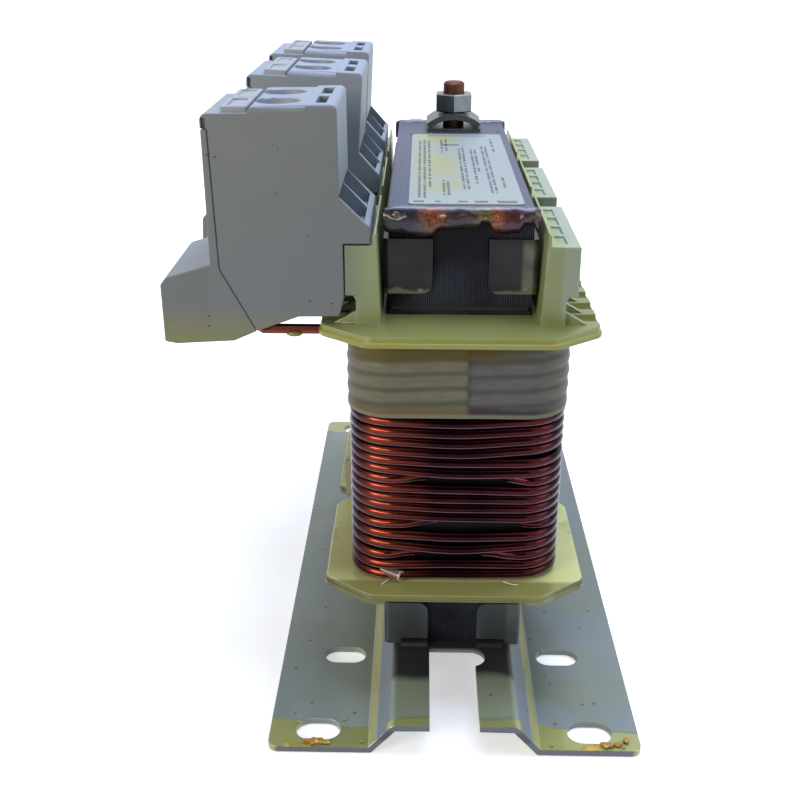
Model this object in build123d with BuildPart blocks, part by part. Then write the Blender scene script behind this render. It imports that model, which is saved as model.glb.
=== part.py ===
from build123d import *
import math
import os

os.makedirs("parts", exist_ok=True)

# Three-phase line reactor. Millimetres, +Z up, origin at the centre of the base
# plate's underside. X runs across the stack, Y along the row of three coils.

# Laminated core
stack_width = 30.5
leg_width = 21.1
yoke_height = 21.1
window_width = 24.9
window_height = 63.3
gap_thickness = 1.0
spacer_inset = 0.5

# Folded base plate
sheet_thickness = 1.5
plate_width = 82.5
panel_rise = 6.0
panel_inset = 2.25
web_run = 5.3
plate_overhang = 31.95
plate_corner_radius = 2.5
fold_radius = 0.8
slot_length = 10.0
mount_slot_width = 7.0
mount_slot_pitch_x = 60.8
mount_slot_edge = 6.1
inner_slot_width = 6.2
inner_slot_pitch_x = 52.0
inner_slot_pitch_y = 108.6
notch_width = 10.9
notch_margin = 2.75
bite_radius = 3.6
bite_reach = 7.8

# Yoke straps
strap_thickness = 1.0
strap_clearance = 0.05
strap_fold_radius = 0.15
strap_tab_gap = 11.8
strap_corner_radius = 2.4
upper_strap_height = 11.9
upper_strap_lift = 3.1
lower_strap_height = 11.4

# Weld beads
bead_depth = 2.0
bead_rise = 0.7
bead_lip = 2.6
bead_wave = 1.1
bead_waves = 6
foot_bead_length = 6.4
foot_bead_size = 1.5

# Moulded bobbins
bobbin_clearance = 0.25
bobbin_wall = 1.2
skirt_drop = 0.6
yoke_seat = 0.1
lower_flange_web = 1.5
upper_flange_thickness = 2.4
upper_flange_drop = 0.7
flange_step = 0.35
flange_overhang_x = 5.7
flange_overhang_y = 6.4
flange_gap = 0.4
flange_chamfer_x = 10.2
flange_chamfer_y = 8.2
flange_corner_cut = 0.9

# Sockets on the upper flange
socket_inset = 4.6
socket_wall_gap = 0.8
socket_wall = 0.6
socket_wall_draft = 0.9
socket_wall_height = 19.4
socket_height = 16.9
socket_depth = 6.1
front_seat_depth = 5.9
seat_depth = 4.8
socket_neck = 3.7
socket_neck_height = 5.2
socket_neck_chamfer = 1.1
pocket_offset = 1.4
pocket_width = 2.1
pocket_depth = 0.5
rib_thickness = 1.2
finger_count = 5
finger_pitch = 8.1
finger_width = 3.6
finger_root = 0.4
gusset_thickness = 1.5
gusset_height = 2.7
gusset_reach = 4.7

# Windings and tape
coil_gap = 6.0
winding_play = 0.2
winding_build = 7.1
winding_corner = 9.6
corner_chords = 3
turn_count = 17
turn_pitch = 2.38
turn_depth = 0.8
coil_end_play = 0.05
tape_thickness = 0.5
tape_fit = 0.05
tape_wrap_count = 5
tape_wave = 0.25

# Leads and sleeve
wire_diameter = 2.3
lead_fit = 0.1
lead_sides = 8
lead_under_flange = 3.1
start_lead_y = -12.15
finish_lead_y = 4.05
lead_run = 16.2
lead_end_x = 4.5
lead_end_z = 3.2
sleeve_diameter = 2.6
sleeve_bore = 1.6
sleeve_length = 5.0
sleeve_x = -13.4
sleeve_fit = 0.05

# Terminal blocks
block_length = 29.4
block_fit = 0.3
block_clamp_fit = 0.3
block_side_step = 0.5
hook_fit = 0.6
hook_height = 9.4
block_height = 43.3
block_base = 1.7
platform_rise = 1.4
ridge_rise = 1.6
platform_x = 6.5
marker_field_x = 18.0
seam_x = 26.1
seam_top = 2.9
latch_width = 0.7
latch_height = 2.0
latch_depth = 1.0
tip_x = 18.5
tip_drop = 1.5
cover_lip = 1.2
duct_depth = 10.7
duct_shoulder = 12.9
duct_drop = 3.7
plate_wall = 1.2
pole_pitch = 13.4
well_diameter = 9.2
well_x = 12.9
well_floor = 35.8
pit_x = 3.8
pit_width = 2.2
pit_length = 9.7
pit_depth = 4.0
cage_cell_width = 9.5
cage_cell_length = 11.5
cage_cell_floor = 20.8
wire_way_width = 7.0
wire_way_height = 5.0
lead_window_fit = 0.55
lead_room = 0.8
seam_gap = 0.1
middle_lift = 0.6
rear_lift = 0.8
rear_set_back = 0.4
front_lean = -0.6
middle_lean = 2.8
rear_lean = 2.5

# Clamps
cage_wall = 1.2
cage_height = 9.5
cage_end_play = 1.0
cage_side_play = 0.4
cage_seat = 0.05
cage_roof = 2.0
cage_bore_play = 0.6
screw_fit = 0.1
bar_thickness = 1.2
bar_width = 5.0
bar_play = 0.25
bar_height = 6.4
screw_head_diameter = 6.4
screw_head_height = 2.6
screw_shank_diameter = 3.4
screw_slot_width = 1.0
screw_head_sides = 12
screw_shank_sides = 6
marker_length = 12.5
marker_width = 5.2
marker_rise = 1.2
marker_foot = 0.8
marker_fit = 0.1
marker_gap = 0.3
marker_dish = 0.3
marker_dish_length = 9.4
marker_dish_width = 3.2

# Earth stud
stud_diameter = 6.0
stud_height = 13.2
stud_depth = 12.0
stud_offset_x = 0.6
stud_fit = 0.1
nut_across_flats = 10.0
nut_height = 5.0
nut_chamfer = 0.3
washer_size = 15.0
washer_thickness = 1.0
saddle_length = 13.4
saddle_thickness = 1.6
saddle_arch = 2.4

# Nameplate and insulation strip
label_width = 24.5
label_length = 86.6
label_thickness = 0.2
label_x = 1.15
label_y = -9.3
label_corner = 1.2
strip_length = 30.0
strip_height = 9.8
strip_thickness = 1.2
strip_end = 3.5

# Sizes that follow from the ones above
phases = ("front", "middle", "rear")
leg_pitch = leg_width + window_width
leg_y = [(index - 1) * leg_pitch for index in range(3)]
half_stack = stack_width / 2
half_core = leg_pitch + leg_width / 2
core_z = panel_rise + sheet_thickness
lower_yoke_top = core_z + yoke_height
leg_top = lower_yoke_top + window_height
top_yoke_z = leg_top + gap_thickness
core_top = top_yoke_z + yoke_height
half_plate = half_core + plate_overhang
strap_face = half_stack + strap_clearance + strap_thickness
strap_end = half_core + strap_clearance + strap_thickness
upper_strap_z = top_yoke_z + upper_strap_lift
upper_strap_top = upper_strap_z + upper_strap_height

bore_x = half_stack + bobbin_clearance
bore_y = leg_width / 2 + bobbin_clearance
tube_x = bore_x + bobbin_wall
tube_y = bore_y + bobbin_wall
lower_flange_top = lower_yoke_top + yoke_seat + lower_flange_web
flange_top = leg_top - upper_flange_drop
flange_bottom = flange_top - upper_flange_thickness
winding_x = tube_x + winding_play + winding_build
winding_y = (leg_pitch - coil_gap) / 2
tape_x = winding_x + tape_thickness
tape_y = winding_y + tape_thickness
flange_x = winding_x + flange_overhang_x
flange_y = winding_y + flange_overhang_y
flange_inner_y = (leg_pitch - flange_gap) / 2
socket_y = flange_inner_y - socket_inset
wall_x = tube_x + socket_wall_gap
socket_x = wall_x + socket_wall
wire_radius = wire_diameter / 2
lead_x = tape_x + lead_fit
lead_z = flange_top - lead_under_flange
lead_turn_x = lead_x + wire_radius + lead_run
lead_window_in = -lead_turn_x + wire_diameter + lead_window_fit
lead_window_out = -lead_turn_x - lead_end_x - wire_radius - lead_window_fit
lead_window_top = lead_z + lead_end_z + wire_radius + lead_room
bar_end_z = lead_z + lead_end_z + lead_fit
cage_length = cage_cell_length - 2 * cage_end_play
cage_width = cage_cell_width - 2 * cage_side_play


def rounded_ring(half_x, half_y, radius):
    """Corner points of a rounded rectangle whose corners are short chords."""
    points = []
    for quarter, (sx, sy) in enumerate(((1, 1), (-1, 1), (-1, -1), (1, -1))):
        for step in range(corner_chords + 1):
            angle = math.radians(90 * (quarter + step / corner_chords))
            points.append(
                (
                    sx * (half_x - radius) + radius * math.cos(angle),
                    sy * (half_y - radius) + radius * math.sin(angle),
                )
            )
    return points


def flange_outline(grow, y_front, y_rear):
    """Octagonal flange, cut short on the sides that meet a neighbour."""
    x_side = flange_x + grow
    x_end = x_side - flange_chamfer_x
    y_side = flange_y + grow - flange_chamfer_y
    slope = flange_chamfer_x / flange_chamfer_y
    points = []
    for y_limit, sign in ((y_rear, 1), (y_front, -1)):
        reach = min(y_limit, flange_y + grow)
        x_cut = x_end + (flange_y + grow - reach) * slope
        row = [(x_side, sign * y_side), (x_cut, sign * reach)]
        row += [(-x, y) for x, y in reversed(row)]
        points += row if sign > 0 else row[::-1]
    return points


# Base plate: one sheet folded to a hat section, slotted feet, notched panel
with BuildPart() as base_plate:
    panel_half = half_stack - panel_inset
    with BuildSketch(Plane.XZ):
        with BuildLine():
            FilletPolyline(
                (-plate_width / 2, 0),
                (-panel_half - web_run, 0),
                (-panel_half, panel_rise),
                (panel_half, panel_rise),
                (panel_half + web_run, 0),
                (plate_width / 2, 0),
                radius=fold_radius,
            )
            offset(amount=sheet_thickness, side=Side.LEFT)
        make_face()
    extrude(amount=half_plate, both=True)
    corners = base_plate.edges().filter_by(Axis.Z)
    outer = [edge for edge in corners if abs(edge.center().X) > plate_width / 2 - 0.1]
    fillet(outer, radius=plate_corner_radius)
    with BuildSketch(Plane.XY) as openings:
        with GridLocations(
            mount_slot_pitch_x, 2 * (half_plate - mount_slot_edge), 2, 2
        ):
            SlotOverall(slot_length, mount_slot_width)
        with GridLocations(inner_slot_pitch_x, inner_slot_pitch_y, 2, 2):
            SlotOverall(slot_length, inner_slot_width)
        notch_length = plate_overhang - notch_margin
        for side in (1, -1):
            with Locations((0, side * (half_plate - notch_length / 2))):
                Rectangle(notch_width, notch_length)
            with Locations(
                (
                    -side * (bite_reach - bite_radius),
                    side * (half_plate - notch_length + bite_radius),
                )
            ):
                Circle(bite_radius)
    extrude(amount=core_z + 1, mode=Mode.SUBTRACT)
base_plate.part.label = "base_plate"
export_step(base_plate.part, "parts/base_plate.step")

# Lower yoke with its three legs, one stack of E sheets
with BuildPart() as core_legs:
    with BuildSketch(Plane.YZ):
        with Locations((0, core_z)):
            Rectangle(2 * half_core, yoke_height, align=(Align.CENTER, Align.MIN))
        with Locations(*[(y, core_z) for y in leg_y]):
            Rectangle(leg_width, leg_top - core_z, align=(Align.CENTER, Align.MIN))
    extrude(amount=half_stack, both=True)
core_legs.part.label = "core_legs"
export_step(core_legs.part, "parts/core_legs.step")

# Upper yoke, tapped from above for the earth stud
with BuildPart() as core_top_yoke:
    with BuildSketch(Plane.YZ):
        with Locations((0, top_yoke_z)):
            Rectangle(2 * half_core, yoke_height, align=(Align.CENTER, Align.MIN))
    extrude(amount=half_stack, both=True)
    with BuildSketch(Plane.XY.offset(core_top)):
        with Locations((stud_offset_x, leg_y[2])):
            Circle(stud_diameter / 2 + stud_fit)
    extrude(amount=-stud_depth, mode=Mode.SUBTRACT)
core_top_yoke.part.label = "core_top_yoke"
export_step(core_top_yoke.part, "parts/core_top_yoke.step")

# Insulating spacers in the three air gaps
for phase, y in zip(phases, leg_y):
    with BuildPart() as gap_spacer:
        with BuildSketch(Plane.XY.offset(leg_top)):
            with Locations((0, y)):
                Rectangle(stack_width - 2 * spacer_inset, leg_width - 2 * spacer_inset)
        extrude(amount=gap_thickness)
    gap_spacer.part.label = f"gap_spacer_{phase}"
    export_step(gap_spacer.part, f"parts/gap_spacer_{phase}.step")

# Straps along both yokes, folded round the ends and welded there
straps = (
    ("bracket_upper_left", -1, upper_strap_z, upper_strap_height, False),
    ("bracket_upper_right", 1, upper_strap_z, upper_strap_height, False),
    ("bracket_lower_left", -1, core_z, lower_strap_height, True),
    ("bracket_lower_right", 1, core_z, lower_strap_height, True),
)
for name, side, z, height, round_top in straps:
    inner_x = half_stack + strap_clearance
    inner_y = half_core + strap_clearance
    with BuildPart() as bracket:
        with BuildSketch(Plane.XY.offset(z)):
            with BuildLine():
                FilletPolyline(
                    (side * strap_tab_gap / 2, -inner_y),
                    (side * inner_x, -inner_y),
                    (side * inner_x, inner_y),
                    (side * strap_tab_gap / 2, inner_y),
                    radius=strap_fold_radius,
                )
                outside = Side.RIGHT if side > 0 else Side.LEFT
                offset(amount=strap_thickness, side=outside)
            make_face()
        extrude(amount=height)
        tab_ends = bracket.edges().filter_by(Axis.Y)
        tab_ends = [edge for edge in tab_ends if edge.length < 2 * strap_thickness]
        level = z + height if round_top else z
        rounded = [edge for edge in tab_ends if abs(edge.center().Z - level) < 0.01]
        fillet(rounded, radius=strap_corner_radius)
    bracket.part.label = name
    export_step(bracket.part, f"parts/{name}.step")

# Weld beads over the upper yoke's end edges, hanging down over the strap tabs
for phase, side in (("front", -1), ("rear", 1)):
    y_core = half_core
    y_tab = strap_end + strap_clearance
    z_tab = upper_strap_top + strap_clearance
    with BuildPart() as weld:
        with BuildSketch(Plane.YZ):
            with BuildLine():
                Polyline(
                    (side * (y_core - 1.4), core_top),
                    (side * y_core, core_top),
                    (side * y_core, z_tab),
                    (side * y_tab, z_tab),
                    (side * y_tab, z_tab - bead_lip),
                )
                ThreePointArc(
                    (side * y_tab, z_tab - bead_lip),
                    (side * (y_core + bead_depth), (z_tab + core_top) / 2),
                    (side * (y_core - 0.2), core_top + bead_rise),
                )
                Line(
                    (side * (y_core - 0.2), core_top + bead_rise),
                    (side * (y_core - 1.4), core_top),
                )
            make_face()
        extrude(amount=strap_face, both=True)
        with BuildSketch(Plane.XZ):
            with BuildLine():
                pitch = 2 * strap_face / bead_waves
                z_wave = z_tab - bead_lip + bead_wave
                for index in range(bead_waves):
                    start = -strap_face + index * pitch
                    dip = bead_wave if index % 2 else bead_wave / 2
                    ThreePointArc(
                        (start, z_wave),
                        (start + pitch / 2, z_wave - dip),
                        (start + pitch, z_wave),
                    )
                Polyline(
                    (strap_face, z_wave),
                    (strap_face, core_top + 2 * bead_rise),
                    (-strap_face, core_top + 2 * bead_rise),
                    (-strap_face, z_wave),
                )
            make_face()
        extrude(amount=half_plate, both=True, mode=Mode.INTERSECT)
    weld.part.label = f"weld_{phase}"
    export_step(weld.part, f"parts/weld_{phase}.step")

# Short fillet welds at the feet of the lower tabs
with BuildPart() as foot_welds:
    for side in (1, -1):
        y_foot = side * (strap_end + strap_clearance)
        for x in (-1, 1):
            centre = x * (strap_tab_gap / 2 + foot_bead_length / 2)
            with BuildSketch(Plane.YZ.offset(centre)):
                with BuildLine():
                    Polyline(
                        (y_foot + side * foot_bead_size, core_z),
                        (y_foot, core_z),
                        (y_foot, core_z + foot_bead_size),
                    )
                    ThreePointArc(
                        (y_foot, core_z + foot_bead_size),
                        (
                            y_foot + side * foot_bead_size * 0.62,
                            core_z + foot_bead_size * 0.62,
                        ),
                        (y_foot + side * foot_bead_size, core_z),
                    )
                make_face()
            extrude(amount=foot_bead_length / 2, both=True)
foot_welds.part.label = "foot_welds"
export_step(foot_welds.part, "parts/foot_welds.step")

# Bobbins: tube, two flanges, a socket on either side of the upper flange
finger_y = [(index - (finger_count - 1) / 2) * finger_pitch for index in range(finger_count)]
rung_y = [y for y in finger_y if abs(y) < socket_y]
seat_depths = (front_seat_depth, seat_depth, seat_depth)
for index, (phase, y, seat) in enumerate(zip(phases, leg_y, seat_depths)):
    y_front = flange_y if index == 0 else flange_inner_y
    y_rear = flange_y if index == 2 else flange_inner_y
    skirt_z = lower_yoke_top - skirt_drop
    flanges = (
        (skirt_z, lower_flange_top - skirt_z),
        (flange_bottom, upper_flange_thickness),
    )
    with BuildPart() as bobbin:
        for z, thickness in flanges:
            for grow, z_step in ((0, z), (-flange_step, z + thickness / 2)):
                with BuildSketch(Plane((0, y, z_step))):
                    Polygon(*flange_outline(grow, y_front, y_rear), align=None)
                    chamfer(vertices(), length=flange_corner_cut)
                extrude(amount=thickness / 2)
        with BuildSketch(Plane((0, y, skirt_z))):
            Rectangle(2 * tube_x, 2 * tube_y)
        extrude(amount=flange_top - skirt_z)
        for side, depth in ((1, socket_depth), (-1, seat)):
            face_x = side * (socket_x + depth)
            neck_x = side * (socket_x + socket_neck)
            z_neck = flange_top + socket_neck_height
            with BuildSketch(Plane.XZ.offset(-y)):
                with BuildLine():
                    Polyline(
                        (side * (wall_x - socket_wall_draft), flange_top - 0.5),
                        (side * wall_x, flange_top + socket_wall_height),
                        (side * socket_x, flange_top + socket_wall_height),
                        (side * socket_x, flange_top + socket_height),
                        (face_x, flange_top + socket_height),
                        (face_x, z_neck + socket_neck_chamfer),
                        (neck_x + side * 0.5, z_neck + socket_neck_chamfer),
                        (neck_x, z_neck),
                        (neck_x, flange_top - 0.5),
                        close=True,
                    )
                make_face()
            extrude(amount=socket_y, both=True)
            with BuildSketch(Plane((0, y, flange_top + socket_height))):
                for low, high in zip(rung_y, rung_y[1:]):
                    pocket_x = side * (socket_x + pocket_offset + pocket_width / 2)
                    with Locations((pocket_x, (low + high) / 2)):
                        Rectangle(pocket_width, high - low - rib_thickness)
            extrude(amount=-pocket_depth, mode=Mode.SUBTRACT)
            for finger in rung_y:
                with BuildSketch(Plane.XZ.offset(-y - finger)):
                    with BuildLine():
                        Polyline(
                            (neck_x - side * 0.2, flange_top - 0.2),
                            (neck_x - side * 0.2, flange_top + gusset_height),
                            (neck_x, flange_top + gusset_height),
                            (neck_x + side * gusset_reach, flange_top),
                            (neck_x + side * gusset_reach, flange_top - 0.2),
                            close=True,
                        )
                    make_face()
                extrude(amount=gusset_thickness / 2, both=True)
            slot_x = side * (tape_x - finger_root / 2 + flange_x) / 2
            with BuildSketch(Plane((0, y, flange_bottom))):
                for low, high in zip(finger_y, finger_y[1:]):
                    with Locations((slot_x, (low + high) / 2)):
                        Rectangle(
                            flange_x - tape_x + finger_root / 2,
                            finger_pitch - finger_width,
                        )
            extrude(amount=upper_flange_thickness, mode=Mode.SUBTRACT)
        with BuildSketch(Plane((0, y, skirt_z))):
            Rectangle(2 * bore_x, 2 * bore_y)
        extrude(amount=flange_top - skirt_z, mode=Mode.SUBTRACT)
        with BuildSketch(Plane((0, y, skirt_z))):
            Rectangle(2 * bore_x, 4 * flange_y)
        extrude(amount=skirt_drop + yoke_seat, mode=Mode.SUBTRACT)
    bobbin.part.label = f"bobbin_{phase}"
    export_step(bobbin.part, f"parts/bobbin_{phase}.step")

# Windings: close turns of round wire, the rings lofted through roots and crests
winding_z = lower_flange_top + coil_end_play
winding_top = flange_bottom - coil_end_play
turn_levels = [(winding_z, turn_depth)]
for turn in range(turn_count):
    z = winding_z + turn * turn_pitch
    turn_levels += [(z + turn_pitch / 2, 0), (z + turn_pitch, turn_depth)]
turns_top = winding_z + turn_count * turn_pitch
turn_levels += [(winding_top, turn_depth)]
for phase, y in zip(phases, leg_y):
    with BuildPart() as winding:
        for z, depth in turn_levels:
            with BuildSketch(Plane((0, y, z))):
                Polygon(
                    *rounded_ring(winding_x - depth, winding_y - depth, winding_corner - depth),
                    align=None,
                )
        loft(ruled=True)
        with BuildSketch(Plane((0, y, winding_z))):
            Rectangle(2 * (tube_x + winding_play), 2 * (tube_y + winding_play))
        extrude(amount=winding_top - winding_z, mode=Mode.SUBTRACT)
    winding.part.label = f"winding_{phase}"
    export_step(winding.part, f"parts/winding_{phase}.step")

# Insulating tape wrapped over the top of each winding
tape_z = turns_top + coil_end_play
wrap = (winding_top - tape_z) / tape_wrap_count
tape_levels = [(tape_z, tape_wave)]
for layer in range(tape_wrap_count):
    z = tape_z + layer * wrap
    tape_levels += [(z + wrap / 2, 0), (z + wrap, tape_wave)]
for phase, y in zip(phases, leg_y):
    with BuildPart() as tape_band:
        for z, depth in tape_levels:
            with BuildSketch(Plane((0, y, z))):
                Polygon(
                    *rounded_ring(
                        tape_x - depth,
                        tape_y - depth,
                        winding_corner + tape_thickness - depth,
                    ),
                    align=None,
                )
        loft(ruled=True)
        inset = turn_depth - tape_fit
        with BuildSketch(Plane((0, y, tape_z))):
            Polygon(
                *rounded_ring(winding_x - inset, winding_y - inset, winding_corner - inset),
                align=None,
            )
        extrude(amount=winding_top - tape_z, mode=Mode.SUBTRACT)
    tape_band.part.label = f"tape_band_{phase}"
    export_step(tape_band.part, f"parts/tape_band_{phase}.step")

# Coil leads: out of the tape's upper edge through a flange slot, up into the cover
for end, offset_y in (("start", start_lead_y), ("finish", finish_lead_y)):
    with BuildPart() as leads:
        for y in leg_y:
            with BuildLine():
                path = Polyline(
                    (-lead_x, y + offset_y, lead_z),
                    (-lead_turn_x, y + offset_y, lead_z),
                    (-lead_turn_x - lead_end_x, y + offset_y, lead_z + lead_end_z),
                )
            with BuildSketch(Plane(path @ 0, x_dir=(0, 1, 0), z_dir=path % 0)):
                RegularPolygon(wire_radius, lead_sides)
            sweep(path=path, transition=Transition.RIGHT)
    leads.part.label = f"{end}_leads"
    export_step(leads.part, f"parts/{end}_leads.step")

# Sleeved end of the winding, lying on the front flange
with BuildPart() as coil_end_sleeve:
    y = leg_y[0] - winding_y - sleeve_fit - sleeve_diameter / 2
    z = lower_flange_top + sleeve_fit + sleeve_diameter / 2
    with BuildSketch(Plane((sleeve_x, y, z), z_dir=(1, 0, 0))):
        Circle(sleeve_diameter / 2)
        Circle(sleeve_bore / 2, mode=Mode.SUBTRACT)
    extrude(amount=sleeve_length / 2, both=True)
coil_end_sleeve.part.label = "coil_end_sleeve"
export_step(coil_end_sleeve.part, "parts/coil_end_sleeve.step")

# Terminal blocks: body and rear cover of each phase, each leaning a little about
# the edge where its hook meets the socket
seats = []
backs = (0, 0, rear_set_back)
lifts = (0, middle_lift, rear_lift)
leans = (front_lean, middle_lean, rear_lean)
for phase, y, seat, back, lift, lean in zip(phases, leg_y, seat_depths, backs, lifts, leans):
    x0 = -(socket_x + seat + block_fit + back)
    z0 = flange_top + lift
    y_front = y - socket_y
    y_mid = y_front + block_length / 2
    x_side = x0 - block_side_step
    x_seam = x0 - seam_x
    x_tip = x0 - tip_x
    x_cover = x_seam - seam_gap
    x_back = x_cover - cover_lip
    z_top = z0 + block_height
    z_low_side = z0 + block_base + 4.1
    hook_z = z0 + socket_height + block_clamp_fit
    funnel_x = -socket_x - hook_fit
    hook_depth = funnel_x - x0
    hook_edge = Axis((x0, y, hook_z), (0, 1, 0))
    poles = [y_mid - pole_pitch / 2, y_mid + pole_pitch / 2]
    mid_plane = Plane.XZ.offset(-y_mid)
    half_length = block_length / 2
    well_centre = x0 - well_x
    cell_x = well_centre - cage_cell_length / 2
    z_floor = z0 + cage_cell_floor
    z_well = z0 + well_floor
    shaft_x = cell_x - bar_thickness - 2 * bar_play
    z_bar = z_floor + bar_height
    marker_x = x0 - marker_field_x - marker_gap - marker_width / 2
    window_x = (lead_window_in + lead_window_out) / 2
    window_size = (lead_window_in - lead_window_out, wire_diameter + 2 * lead_window_fit)
    windows = [(window_x, y + start_lead_y), (window_x, y + finish_lead_y)]

    with BuildPart() as upright_body:
        with BuildSketch(mid_plane):
            with BuildLine():
                Polyline(
                    (x_back, z_top),
                    (x_side, z_top),
                    (x_side, hook_z + hook_height),
                    (funnel_x - 0.8, hook_z + hook_height - hook_depth + 0.3),
                    (funnel_x, hook_z + hook_height - hook_depth - 0.3),
                    (funnel_x, hook_z),
                    (x0, hook_z),
                    (x0, z_low_side),
                    (x0 - 1.1, z0 + block_base),
                    (x0 - 9.6, z0 + block_base),
                    (x_tip, z0 - tip_drop),
                    (x_seam + 0.6, z0 + 12.0),
                    (x_seam, z0 + 30.1),
                    (x_seam, z_top - seam_top),
                    (x_back, z_top - seam_top),
                    close=True,
                )
            make_face()
        extrude(amount=half_length, both=True)
        # Raised platform round the screw wells and the ridge beside it
        with BuildSketch(mid_plane):
            with Locations((x0 - (platform_x + marker_field_x) / 2, z_top)):
                Rectangle(
                    marker_field_x - platform_x,
                    platform_rise,
                    align=(Align.CENTER, Align.MIN),
                )
        extrude(amount=half_length, both=True)
        with BuildSketch(mid_plane):
            with BuildLine():
                Polyline(
                    (x0 - platform_x, z_top),
                    (x0 - platform_x, z_top + ridge_rise),
                    (x_side, z_top + ridge_rise),
                    (x_side, z_top),
                    close=True,
                )
            make_face()
        extrude(amount=half_length, both=True)
        level = z_top + platform_rise
        rim = [
            edge
            for edge in upright_body.edges()
            if abs(edge.center().Z - level) < 0.01 and edge.center().X < x0 - platform_x - 0.01
        ]
        fillet(rim, radius=platform_rise * 0.9)
        crest = [
            edge
            for edge in upright_body.edges().filter_by(Axis.Y)
            if abs(edge.center().Z - z_top - ridge_rise) + abs(edge.center().X - x_side) < 0.01
        ]
        fillet(crest, radius=ridge_rise * 0.7)
        crown = [
            edge
            for edge in upright_body.edges().filter_by(Axis.Y)
            if abs(edge.center().Z - z_top) + abs(edge.center().X - x_back) < 0.01
        ]
        fillet(crown, radius=cover_lip)
        # Latch slot above the seam
        with BuildSketch(Plane.XZ.offset(-y_front)):
            with Locations((x_back + cover_lip / 2, z_top - seam_top)):
                Rectangle(latch_width, latch_height, align=(Align.CENTER, Align.MIN))
        extrude(amount=-latch_depth, mode=Mode.SUBTRACT)
        # Screw wells and the pits beside them
        with BuildSketch(Plane.XY.offset(z_top + ridge_rise)):
            with Locations(*[(well_centre, pole) for pole in poles]):
                Circle(well_diameter / 2)
        extrude(amount=-(z_top + ridge_rise - z_well), mode=Mode.SUBTRACT)
        with BuildSketch(Plane.XY.offset(z_top + ridge_rise)):
            with Locations(*[(x0 - pit_x, pole) for pole in poles]):
                Rectangle(pit_width, pit_length)
        extrude(amount=-pit_depth, mode=Mode.SUBTRACT)
        # Clamp cells, wire ways and the shafts of the contact bars
        for pole in poles:
            pole_plane = Plane.XZ.offset(-pole)
            with BuildSketch(pole_plane):
                with Locations((cell_x, z_floor)):
                    Rectangle(
                        cage_cell_length,
                        z_well - z_floor,
                        align=(Align.MIN, Align.MIN),
                    )
            extrude(amount=cage_cell_width / 2, both=True, mode=Mode.SUBTRACT)
            with BuildSketch(pole_plane):
                with Locations((x0, z_floor + cage_wall)):
                    Rectangle(
                        x0 - cell_x,
                        wire_way_height,
                        align=(Align.MAX, Align.MIN),
                    )
            extrude(amount=wire_way_width / 2, both=True, mode=Mode.SUBTRACT)
            with BuildSketch(pole_plane):
                with Locations((shaft_x, z0 - tip_drop)):
                    Rectangle(
                        cell_x - shaft_x,
                        z_floor + cage_height - z0,
                        align=(Align.MIN, Align.MIN),
                    )
            extrude(amount=bar_width / 2 + bar_play, both=True, mode=Mode.SUBTRACT)
        # Wire funnels between the hooked end plates and the middle web
        cavity = (block_length - 3 * plate_wall) / 2
        for side in (-1, 1):
            y_cavity = y_mid + side * (plate_wall + cavity) / 2
            with BuildSketch(Plane.XZ.offset(-y_cavity)):
                with BuildLine():
                    Polyline(
                        (x_side, hook_z + hook_height + 0.4),
                        (x_side - 5.2, hook_z + hook_height - 3.8),
                        (x_side - 5.2, hook_z + 2.2),
                        (funnel_x - 1.2, hook_z + 2.2),
                        (funnel_x - 1.2, hook_z + 4.6),
                        (funnel_x, hook_z + 4.6),
                        (funnel_x + 0.5, hook_z + hook_height + 0.4),
                        close=True,
                    )
                make_face()
            extrude(amount=cavity / 2, both=True, mode=Mode.SUBTRACT)
        # Marker seats
        with BuildSketch(Plane.XY.offset(z_top)):
            with Locations(*[(marker_x, pole) for pole in poles]):
                Rectangle(marker_width + 2 * marker_fit, marker_length + 2 * marker_fit)
        extrude(amount=-marker_foot - marker_fit, mode=Mode.SUBTRACT)

    with BuildPart() as terminal_body:
        add(upright_body.part.rotate(hook_edge, lean))
        # Windows for the coil leads at the lower tip
        with BuildSketch(Plane.XY.offset(lead_window_top)):
            with Locations(*windows):
                Rectangle(*window_size)
        extrude(amount=-(lead_window_top - flange_bottom), mode=Mode.SUBTRACT)
    terminal_body.part.label = f"terminal_body_{phase}"
    export_step(terminal_body.part, f"parts/terminal_body_{phase}.step")

    # Cover: flat back of the block with the lead duct at its foot
    x_duct = x_back - duct_depth
    z_seam = z_top - seam_top - seam_gap
    z_duct = z0 + duct_shoulder
    z_foot = z0 - duct_drop
    with BuildPart() as upright_cover:
        with BuildSketch(mid_plane):
            with BuildLine():
                Polyline(
                    (x_cover, z_seam),
                    (x_back, z_seam),
                    (x_back, z_duct),
                    (x_duct + 1.1, z_duct - 2.8),
                    (x_duct, z_duct - 4.3),
                    (x_duct, z_foot),
                    (x_duct + 2.5, z_foot - 0.5),
                    (x_tip - 5.0, z_foot + 0.1),
                    (x_tip - seam_gap, z0 - tip_drop),
                    (x_cover + 0.6, z0 + 12.0),
                    (x_cover, z0 + 30.1),
                    close=True,
                )
            make_face()
        extrude(amount=half_length, both=True)
        with BuildSketch(Plane.XY.offset(z_floor)):
            with Locations(*[((shaft_x + cell_x) / 2, pole) for pole in poles]):
                Rectangle(cell_x - shaft_x, bar_width + 2 * bar_play)
        extrude(amount=-(z_floor - bar_end_z + bar_play), mode=Mode.SUBTRACT)

    with BuildPart() as terminal_cover:
        add(upright_cover.part.rotate(hook_edge, lean))
        with BuildSketch(Plane.XY.offset(lead_window_top)):
            with Locations(*windows):
                Rectangle(*window_size)
        extrude(amount=-(lead_window_top - z_foot + 1), mode=Mode.SUBTRACT)
    terminal_cover.part.label = f"terminal_cover_{phase}"
    export_step(terminal_cover.part, f"parts/terminal_cover_{phase}.step")

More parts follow.
